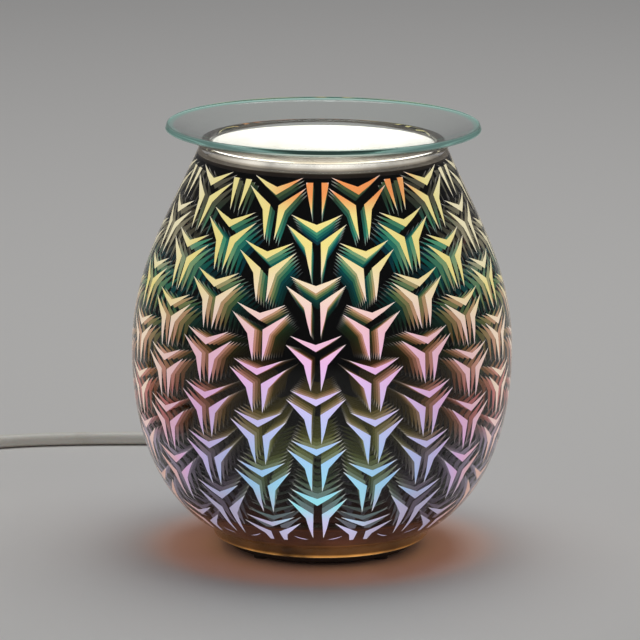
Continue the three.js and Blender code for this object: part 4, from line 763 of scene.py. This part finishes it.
# One motif is a wide V over two bent blades, in mm from the point of its V: across, and up the wall.
# Each blade is eight corners round its outline and three along its middle.
V_BLADE = [(-9.0, 5.3), (-4.5, 2.5), (0.0, 0.0), (4.5, 2.5), (9.0, 5.3), (4.3, 3.7), (0.0, 2.3), (-4.3, 3.7),
           (-4.5, 3.1), (0.0, 1.15), (4.5, 3.1)]
LEFT_BLADE = [(-10.5, 2.3), (-7.2, -1.1), (-4.1, -4.5), (-3.0, -9.0), (-1.75, -13.3), (-1.7, -8.4),
              (-1.5, -3.0), (-5.8, -0.4), (-6.5, -0.75), (-2.8, -3.75), (-2.35, -8.7)]
LEFT_TOP_CUT = [(-3.95, -3.9), (-3.8, -4.9), (-3.55, -6.2), (-2.75, -9.6), (-1.75, -13.5), (-1.65, -9.0),
                (-1.45, -3.9), (-2.7, -3.9), (-3.1, -4.9), (-2.5, -6.2), (-2.2, -9.2)]
LEFT_FOOT_CUT = [(-10.5, 2.3), (-7.2, -1.1), (-4.1, -4.5), (-3.5, -6.7), (-3.1, -8.4), (-1.8, -8.4),
                 (-1.5, -3.0), (-5.8, -0.4), (-6.5, -0.75), (-2.8, -3.75), (-2.6, -7.2)]
FOOT_ARC = [(3.4, -14.2), (4.7, -14.15), (6.0, -13.8), (7.3, -13.2), (8.5, -12.4), (7.3, -12.9),
            (6.0, -13.4), (4.7, -13.8), (4.7, -14.0), (6.0, -13.6), (7.3, -13.05)]
OUTLINE, CORNERS, TIPS = 8, 11, [0, 4]
BLADE_FACES = [(0, 1, 8), (0, 8, 7), (1, 2, 9, 8), (8, 9, 6, 7), (2, 3, 10, 9), (9, 10, 5, 6), (3, 4, 10),
               (10, 4, 5)]
COLUMNS, FRONT_PHASE = 20, math.radians(-1.65)
EVEN_ROWS = [122.0, 102.6, 83.2, 64.3, 46.3, 26.9]
ODD_ROWS = [133.5, 113.2, 93.3, 74.6, 56.2, 37.6]
TOP_CUT_ROW, FOOT_CUT_ROW = 142.1, 17.5
STRETCH_Z = [17.5, 26.9, 37.6, 46.3, 56, 64, 75, 135]
STRETCH = [1.06, 1.37, 1.17, 1.09, 1.06, 1.04, 1.0, 1.2]
ROW_TILT, COLUMN_LEAN, LEAN_MIDDLE_Z = 0.016, math.radians(-0.0113), 60
FRONT_DEPTH, ECHO_STEP, ECHO_LIFT, ECHOES, ARC_LAYERS = 2.3, 3.0, 1.3, 9, 2
CORE_GAP = 0.4

# How the light changes round the jar: the sheen's height rises and the light falls at the sides
SIDE_RAISE_Z = [28, 47, 65, 85, 115]
FRONT_RAISE, ECHO_RAISE = [130, 90, 70, 35, 40], [60, 50, 45, 25, 12]
SIDE_LIMIT = 0.55
SIDE_LOSS, SIDE_LOSS_Z, SIDE_LOSS_SHARE = 0.32, [60, 100], [1, 0.45]
ECHO_LOSS, ECHO_LOSS_LAST = 0.075, 6


def blades_of(left, with_v=True):
    """The motif's blades: the V where it is whole, the left blade, and its mirror image."""
    v = [V_BLADE] if with_v else []
    return np.array([*v, left, np.array(left) * [-1, 1]], float)


def lay_blades(blades, column_angle, apex_run, stretch, number):
    """Blades laid on the wall: a corner (u, v) goes v up the wall from the motif's point and the
    angle u over the wall's radius round it, a little higher towards the right of the front, then
    back by the layer's depth square to the wall, and by the echo's lift towards the jar's widest
    height. Also gives each corner's sheen height and how much of its light is left, which falls
    as the square of sin 2a towards the four bearings between front, sides and back."""
    run = apex_run[:, None, None] + blades[None, :, :, 1] * stretch[:, None, None]
    wall_r, wall_z = on_wall(run, 0.0)
    angle = column_angle[:, None, None] + blades[None, :, :, 0] / wall_r
    angle = angle + COLUMN_LEAN * (wall_z - LEAN_MIDDLE_Z)
    run = run + ROW_TILT * wall_r * np.sin(angle)
    lift = -ECHO_LIFT * number * np.interp(run, WALL_RUN, WALL_NORMAL[:, 1])
    leaves = []
    for above in (0, LEAF):
        r, z = on_wall(run, FRONT_DEPTH + ECHO_STEP * number + above)
        leaves.append(np.stack([r * np.sin(angle), -r * np.cos(angle), z + lift], -1))
    raised = np.interp(wall_z, SIDE_RAISE_Z, ECHO_RAISE if number else FRONT_RAISE)
    height = wall_z + raised * np.minimum(1 - np.abs(np.cos(angle)), SIDE_LIMIT)
    loss = SIDE_LOSS * np.interp(wall_z, SIDE_LOSS_Z, SIDE_LOSS_SHARE)
    left = 1 - (loss + ECHO_LOSS * min(number, ECHO_LOSS_LAST)) * np.sin(2 * angle) ** 2
    return [np.concatenate(pair, 2) for pair in (leaves, [height, height], [left, left])]


def blade_faces(flip):
    """Faces of one leaf-thin closed blade: its front, its back turned over, and its rim."""
    back = [tuple(i + CORNERS for i in face[::-1]) for face in BLADE_FACES]
    rim = [(i, i + CORNERS, (i + 1) % OUTLINE + CORNERS, (i + 1) % OUTLINE) for i in range(OUTLINE)]
    whole = BLADE_FACES + back + rim
    return [face[::-1] for face in whole] if flip else whole


def blade_kinds(number):
    """The motifs of a layer: whether they stand on even or odd columns, their rows and blades."""
    kinds = [(0, EVEN_ROWS, blades_of(LEFT_BLADE)), (1, ODD_ROWS, blades_of(LEFT_BLADE)),
             (0, [TOP_CUT_ROW], blades_of(LEFT_TOP_CUT, False)),
             (1, [FOOT_CUT_ROW], blades_of(LEFT_FOOT_CUT))]
    if number < ARC_LAYERS:
        kinds.append((0, EVEN_ROWS[-1:], blades_of(FOOT_ARC, False)))
    return kinds


def pattern_layer(number):
    """One layer of the pattern at its depth: every blade that still clears the dark core."""
    angle = FRONT_PHASE + np.arange(COLUMNS) * 2 * np.pi / COLUMNS
    size = 2 * CORNERS
    points, heights, lights, faces, backs, count = [], [], [], [], [], 0
    for parity, rows, blades in blade_kinds(number):
        a, z = (g.ravel() for g in np.meshgrid(angle[parity::2], rows, indexing="ij"))
        laid, height, left = lay_blades(blades, a, run_at(z), np.interp(z, STRETCH_Z, STRETCH), number)
        clear = (np.hypot(laid[..., 0], laid[..., 1]) > core_radius(laid[..., 2]) + CORE_GAP).all(2)
        for b in range(len(blades)):
            kept = laid[clear[:, b], b]
            starts = count + size * np.arange(len(kept))
            for i, face in enumerate(blade_faces(flip=b == len(blades) - 1)):
                faces += (starts[:, None] + face).tolist()
                backs.append(np.full(len(kept), i >= len(BLADE_FACES)))
            points.append(kept.reshape(-1, 3))
            heights.append(height[clear[:, b], b].ravel())
            lights.append(left[clear[:, b], b].ravel())
            count += size * len(kept)
    tip = np.tile(np.isin(np.arange(CORNERS), TIPS), count // CORNERS)
    marks = {"sheen_height": np.concatenate(heights), "light_left": np.concatenate(lights), "tip": tip}
    return np.vstack(points), faces, marks, np.concatenate(backs)


# Light of the pattern

# Sheen of the light by height: the front blades, the echoes close behind, and those far behind
FRONT_SHEEN = [(12, "CDBEE1"), (20, "C8C6EA"), (28, "96E1EB"), (47, "A3CCF5"), (65, "D2C6F6"), (79, "F2BDEB"),
               (92, "F7C6CF"), (104, "FBE2C8"), (118, "F7E58C"), (150, "F5E89C"), (185, "EFE0BC")]
NEAR_SHEEN = [(12, "6E6478"), (28, "708C88"), (47, "84906C"), (65, "A68C72"), (79, "D48F86"), (92, "E6A88E"),
              (104, "D2AE7C"), (113, "9CBC84"), (121, "54B088"), (134, "4C6440"), (160, "6C7050"),
              (185, "8C7458")]
MIDDLE_SHEEN = [(12, "3E3644"), (28, "465642"), (47, "5E6434"), (65, "7A6638"), (79, "98644C"),
                (92, "9C7040"), (104, "628850"), (113, "1C8468"), (121, "0A7670"), (134, "16342E"),
                (160, "2C4434"), (185, "5C4030")]
FAR_SHEEN = [(12, "261E2C"), (28, "303A2C"), (47, "42441F"), (65, "443A18"), (79, "402A10"), (92, "243418"),
             (104, "084640"), (113, "034A4E"), (121, "043A48"), (134, "08222C"), (160, "0E2224"),
             (185, "301A0C")]
SHEENS, SHEEN_LAYERS = [FRONT_SHEEN, NEAR_SHEEN, MIDDLE_SHEEN, FAR_SHEEN], [0, 1, 2.3, 4]
FADE_Z, FADE, FADE_FROM, ECHO_SHARE = [30, 60, 85, 110], [0.93, 0.9, 0.8, 0.62], 4, 0.8
# Paler painted light at the blades' tips, fading with each echo.
TIP_PALE_LIGHT, TIP_PALE_FADE, FRONT_TIP_PALE, ECHO_TIP_PALE = np.array([0.9, 0.855, 0.81]), 0.72, 0.7, 0.55

# Painted sheen: the washes shift the colour of the pattern's light by bearing from the front and by height.
cream_wash = make_wash("cream_wash", "COLOR", "CDC4A2", 0.0, (0.64, 0.4), (95, 107))
FRONT_WASHES = [
    make_wash("orange_blush", "MIX", "F59A58", 0.2, (0.76, 0.95), (124.5, 133.5)),
    make_wash("lavender_wash", "MIX", "C2BBDA", 0.0, (0.99, 0.93), (37, 25)),
    make_wash("peach_wash", "MIX", "E6B5A4", 0.0, (0.64, 0.44), (50, 34)),
    cream_wash,
]
ECHO_WASHES = [
    make_wash("mauve_tint", "MULTIPLY", "FFDCEA", 0.0, (0.95, 0.7), (74, 60)),
    make_wash("dusk_wash", "COLOR", "8B7E92", 0.0, (0.94, 0.78), (54, 41)),
    cream_wash,
    make_wash("top_cream", "COLOR", "C9C4A6", 0.0, (0.86, 0.66), (120, 130)),
]


def sheen_at(stops, height):
    """The colour of a sheen at a height, as linear light."""
    colors = np.array([srgb(code) for _, code in stops])
    return [np.interp(height, [z for z, _ in stops], colors[:, k]) for k in range(3)]


def sheen_stops(number):
    """A layer's colours by height: they go from the near echo's to the far one's with depth, and
    fade faster near the top of the jar than near its foot."""
    stops = []
    for z, _ in NEAR_SHEEN if number else FRONT_SHEEN:
        palette = np.array([sheen_at(sheen, z) for sheen in SHEENS])
        keep = np.interp(z, FADE_Z, FADE) ** max(0, number - FADE_FROM) * (ECHO_SHARE if number else 1)
        stops.append((z, keep * np.array([np.interp(number, SHEEN_LAYERS, palette[:, k]) for k in range(3)])))
    return stops


def light_material(number):
    """Light of one layer: its sheen over height, washed towards the sides, pale at the blades' tips
    and dimmed where less of it is left."""
    material = plain(f"wall_light_{number}", (0.004, 0.004, 0.004), 0.5, Emission_Strength=1.0)
    material.cycles.emission_sampling = "NONE"
    tree = material.node_tree
    light = ramp(tree, attribute(tree, "sheen_height"), sheen_stops(number))
    for wash in ECHO_WASHES if number else FRONT_WASHES:
        light = through(tree, wash, light)
    share = ECHO_TIP_PALE if number else FRONT_TIP_PALE
    sharp = fit(tree, attribute(tree, "tip"), *TIP_RANGE, 0.0, share, "SMOOTHSTEP")
    paled_light = mix_color(tree, sharp, light, (*(TIP_PALE_LIGHT * TIP_PALE_FADE**number), 1))
    feed(material, "Emission Color", dimmed(tree, paled_light, attribute(tree, "light_left")))
    return material


def make_pattern():
    """The front layer of the pattern, painted light, and its echoes, painted reflections of it in the
    mirrored wall.
    """
    for number in range(ECHOES + 1):
        points, faces, marks, backs = pattern_layer(number)
        name = f"light_echo_{number}" if number else "light_pattern"
        looks = [light_material(number), LINING_DARK]
        layer = make_piece(name, points, faces, looks, sharp=180, look_of_face=backs)
        for key, values in marks.items():
            store = layer.data.attributes.new(key, "FLOAT", "POINT")
            store.data.foreach_set("value", values.astype(np.float32))


make_pattern()

# Glass dish

DISH_RIM_R, DISH_CURVE_R, DISH_WALL, DISH_LOW_Z, DISH_EASE = 54.6, 145.0, 2.2, 137.4, 0.42
DISH_STEPS, DISH_RINGS, EASE_STEPS = 160, 48, 5
# The rim's green tint is the glass's own; the rim and its eased corners also glow with painted light, the
# lamp's light coming out at the glass edge, and edge_glow adds a painted highlight at the front.
DISH_LOOKS = [
    dress("glass_dish", (0.95, 0.99, 0.97), 0.0, (30, 0.03), (40, 0.05), IOR=1.5, Transmission_Weight=1.0),
    dress("glass_dish_rim", (0.6, 0.9, 0.82), 0.04, (400, 0.01), (60, 0.05), IOR=1.5,
          Transmission_Weight=1.0, Emission_Color=(0.16, 0.36, 0.3, 1), Emission_Strength=0.12),
    dress("glass_dish_corner", (0.85, 0.98, 0.94), 0.1, (400, 0.01), (60, 0.05), IOR=1.5,
          Transmission_Weight=1.0, Emission_Strength=1.0),
]
CORNER_LIGHT = (0.1, 0.15, 0.135, 1)
edge_glow = make_wash("edge_glow", "ADD", "9AA096", 0.0, (0.84, 1.0), (130, 131), "MAXIMUM")
feed(DISH_LOOKS[2], "Emission Color", through(DISH_LOOKS[2].node_tree, edge_glow, CORNER_LIGHT))


def make_dish():
    """A shallow bowl of two round surfaces about one centre, its underside and its upper side a
    wall's thickness apart, joined by a ground edge with eased corners."""
    centre = np.array([0, DISH_LOW_Z + DISH_CURVE_R])
    half = DISH_WALL / 2
    rim = math.asin((DISH_RIM_R - half) / (DISH_CURVE_R - half))
    out, up = np.array([math.cos(rim), math.sin(rim)]), np.array([-math.sin(rim), math.cos(rim)])
    under = arc_points(centre, DISH_CURVE_R, -math.pi / 2, rim - math.pi / 2, DISH_RINGS)
    top = arc_points(centre, DISH_CURVE_R - DISH_WALL, rim - math.pi / 2, -math.pi / 2, DISH_RINGS)
    middle = centre - up * (DISH_CURVE_R - half) + out * (half - DISH_EASE)
    rise = up * (half - DISH_EASE)
    low = arc_points(middle - rise, DISH_EASE, rim - math.pi / 2, rim, EASE_STEPS)
    high = arc_points(middle + rise, DISH_EASE, rim, rim + math.pi / 2, EASE_STEPS)
    profile = np.vstack([under, low, high, top])
    profile[[0, -1], 0] = 0
    points, faces = turned(profile, DISH_STEPS)
    look = np.zeros(len(profile), np.int32)
    first = len(under) - 1
    look[first - 1 : first + len(low) + len(high) + 1] = 1
    for start in (first, first + len(low)):
        look[start : start + len(low) - 1] = 2
    make_piece("dish_glass_bowl", points, faces, DISH_LOOKS, "dish", ["glass_dish"],
               look_of_face=look[np.arange(len(faces)) // DISH_STEPS])


make_dish()

# Finishes of the solids that stay


def coat(look, *names):
    """Gives nodes of the CAD model a look."""
    for name in names:
        for slot in NODES[name].material_slots:
            slot.material = look


def numbered(name, count):
    """A name with each number from one on."""
    return [f"{name}_{i + 1}" for i in range(count)]


def reflector_look():
    """The lamp's reflector: a bright coat in a mosaic of small dished facets, with a painted glow of the
    lamp's light.
    """
    material = dress("reflector_coat", (0.88, 0.86, 0.82), 0.12, (500, 0.01), (200, 0.15), (0.8, 0.7, 0.55),
                     metal=1.0, Emission_Color=(1, 0.8, 0.5, 1), Emission_Strength=0.25)
    tree = material.node_tree
    facets = node(tree, "TexVoronoi", {"Vector": place_of(tree), "Scale": FACET_SCALE}).outputs["Distance"]
    relief = {"Distance": FACET_DEPTH * MM, "Height": facets}
    feed(material, "Normal", node(tree, "Bump", relief).outputs[0])
    return material


def lens_look():
    """The lamp's front glass, lit: rings of light that fade from its middle to its edge over a fine
    stipple."""
    material = dress("lens_lit", (0.2, 0.19, 0.17), 0.15, (900, 0.08), (200, 0.1), Emission_Strength=0.8)
    tree = material.node_tree
    away = vector_calc(tree, "LENGTH", vector_calc(tree, "MULTIPLY", place_of(tree), FLAT))
    fade = ramp(tree, away, [(0.0, (1, 0.92, 0.75)), (6.6, (1, 0.84, 0.55)), (14.3, (0.6, 0.42, 0.22)),
                             (22.0, (0.3, 0.19, 0.09))], MM)
    inputs = {0: place_of(tree), "Scale": RING_SCALE}
    rings = node(tree, "TexWave", inputs, wave_type="RINGS", rings_direction="Z").outputs["Fac"]
    feed(material, "Emission Color", dimmed(tree, fade, fit(tree, rings, 0.0, 1.0, *RING_LIGHT)))
    return material


coat(dress("shell_black", (0.013, 0.013, 0.014), 0.38, (1100, 0.02), (50, 0.22), (0.035, 0.034, 0.033), 0.25,
           edge=0.4), "base_housing", "base_cover", "clamp_ring")
coat(dress("tie_black", (0.016, 0.016, 0.017), 0.55, (2200, 0.05), (90, 0.2), (0.04, 0.04, 0.04), 0.2,
           edge=0.3), "coil_tie")
coat(dress("case_ivory", (0.79, 0.77, 0.71), 0.3, (1500, 0.012), (40, 0.22), (0.68, 0.65, 0.58), 0.1,
           edge=0.7, Subsurface_Weight=0.04), "switch_lower", "switch_upper", "plug_body", "plug_fuse_drawer")
coat(dress("boot_ivory", (0.7, 0.68, 0.62), 0.5, (800, 0.03), (55, 0.2), (0.56, 0.53, 0.47), 0.15,
           Subsurface_Weight=0.06), "cord_boot")
coat(dress("rocker_white", (0.84, 0.83, 0.79), 0.22, (1800, 0.008), (120, 0.3), (0.7, 0.68, 0.62), 0.05,
           edge=0.5), "switch_rocker")
coat(dress("nylon_plain", (0.72, 0.7, 0.62), 0.4, (1000, 0.02), (80, 0.2), (0.6, 0.57, 0.48),
           Subsurface_Weight=0.15), "cord_clamp", "terminal_block")
coat(dress("foot_rubber", (0.025, 0.025, 0.026), 0.75, (1600, 0.05), (200, 0.15), (0.06, 0.058, 0.055)),
     *numbered("rubber_foot", 4))
coat(dress("gasket_silicone", (0.5, 0.49, 0.46), 0.45, (600, 0.02), (120, 0.2), (0.4, 0.39, 0.36),
           Subsurface_Weight=0.3), "clamp_gasket")
coat(dress("screw_zinc", (0.62, 0.62, 0.6), 0.28, (160, 0.015), (260, 0.25), (0.42, 0.4, 0.36), drawn=True,
           metal=1.0), *numbered("cover_screw", 3), *numbered("bracket_screw", 2),
     *numbered("holder_screw", 2), *numbered("cord_clamp_screw", 2), *numbered("switch_screw", 2))
coat(dress("bracket_steel", (0.58, 0.58, 0.57), 0.34, (90, 0.012), (120, 0.25), (0.4, 0.38, 0.34),
           drawn=True, metal=1.0), "holder_bracket")
coat(dress("pin_brass", (0.86, 0.62, 0.26), 0.2, (140, 0.012), (170, 0.28), (0.5, 0.32, 0.13), drawn=True,
           edge=0.4, metal=1.0), "plug_pin_earth", "plug_pin_live", "plug_pin_neutral", "switch_contact",
     *numbered("lamp_pin", 2), *numbered("holder_contact", 2), *numbered("terminal_screw", 2))
coat(dress("steatite", (0.78, 0.76, 0.7), 0.55, (1400, 0.06), (110, 0.25), (0.66, 0.62, 0.55)),
     "lamp_holder", "lamp_cap", "plug_fuse")
coat(dress("wire_brown", (0.13, 0.05, 0.025), 0.35, (900, 0.02), (150, 0.2), (0.09, 0.035, 0.02)),
     "lead_live", "core_live")
coat(dress("wire_blue", (0.03, 0.12, 0.42), 0.35, (900, 0.02), (150, 0.2), (0.025, 0.09, 0.3)),
     "lead_neutral", "core_neutral")
coat(CORD_LOOK, "cord_inside")
coat(dress("lamp_glow", (1, 0.95, 0.85), 0.1, (300, 0.02), (200, 0.1), Emission_Color=(1, 0.8, 0.5, 1),
           Emission_Strength=5.0), "lamp_capsule")
coat(reflector_look(), "lamp_reflector")
coat(lens_look(), "lamp_lens")

# Floor and light

FLOOR_CORNERS = [(-4000, -3000, 0), (4000, -3000, 0), (4000, 6000, 0), (-4000, 6000, 0)]
WORLD_COLOR = (0.12, 0.12, 0.125, 1)


def make_floor():
    """A plain pale floor under the feet."""
    mesh = make_mesh("floor", FLOOR_CORNERS, [(0, 1, 2, 3)])
    mesh.materials.append(plain("floor", (0.72, 0.71, 0.69), 0.6))
    add_object("floor", mesh)


def make_world():
    """An even dim studio."""
    world = bpy.data.worlds.new("studio")
    world.use_nodes = True
    world.node_tree.nodes["Background"].inputs[0].default_value = WORLD_COLOR
    SCENE.world = world


def make_light(name, place, aim, size, power, color=(1, 1, 1)):
    """A round lamp of a size in metres at a place in metres, turned towards a point."""
    data = bpy.data.lights.new(name, "AREA")
    data.shape, data.size, data.energy, data.color = "DISK", size, power, color
    light = add_object(name, data)
    light.location = place
    light.rotation_euler = (Vector(aim) - Vector(place)).to_track_quat("-Z", "Y").to_euler()
    return light


make_floor()
make_world()
make_light("top_light", place=(0.1, 0.3, 1.6), aim=(0, 0.3, 0), size=1.4, power=14)
foot_glow = make_light("foot_glow", place=(0, 0, 0.0066), aim=(0, 0, 0), size=0.12, power=0.008,
                       color=(1, 0.33, 0.1))
foot_glow.visible_camera = foot_glow.visible_transmission = foot_glow.visible_glossy = False
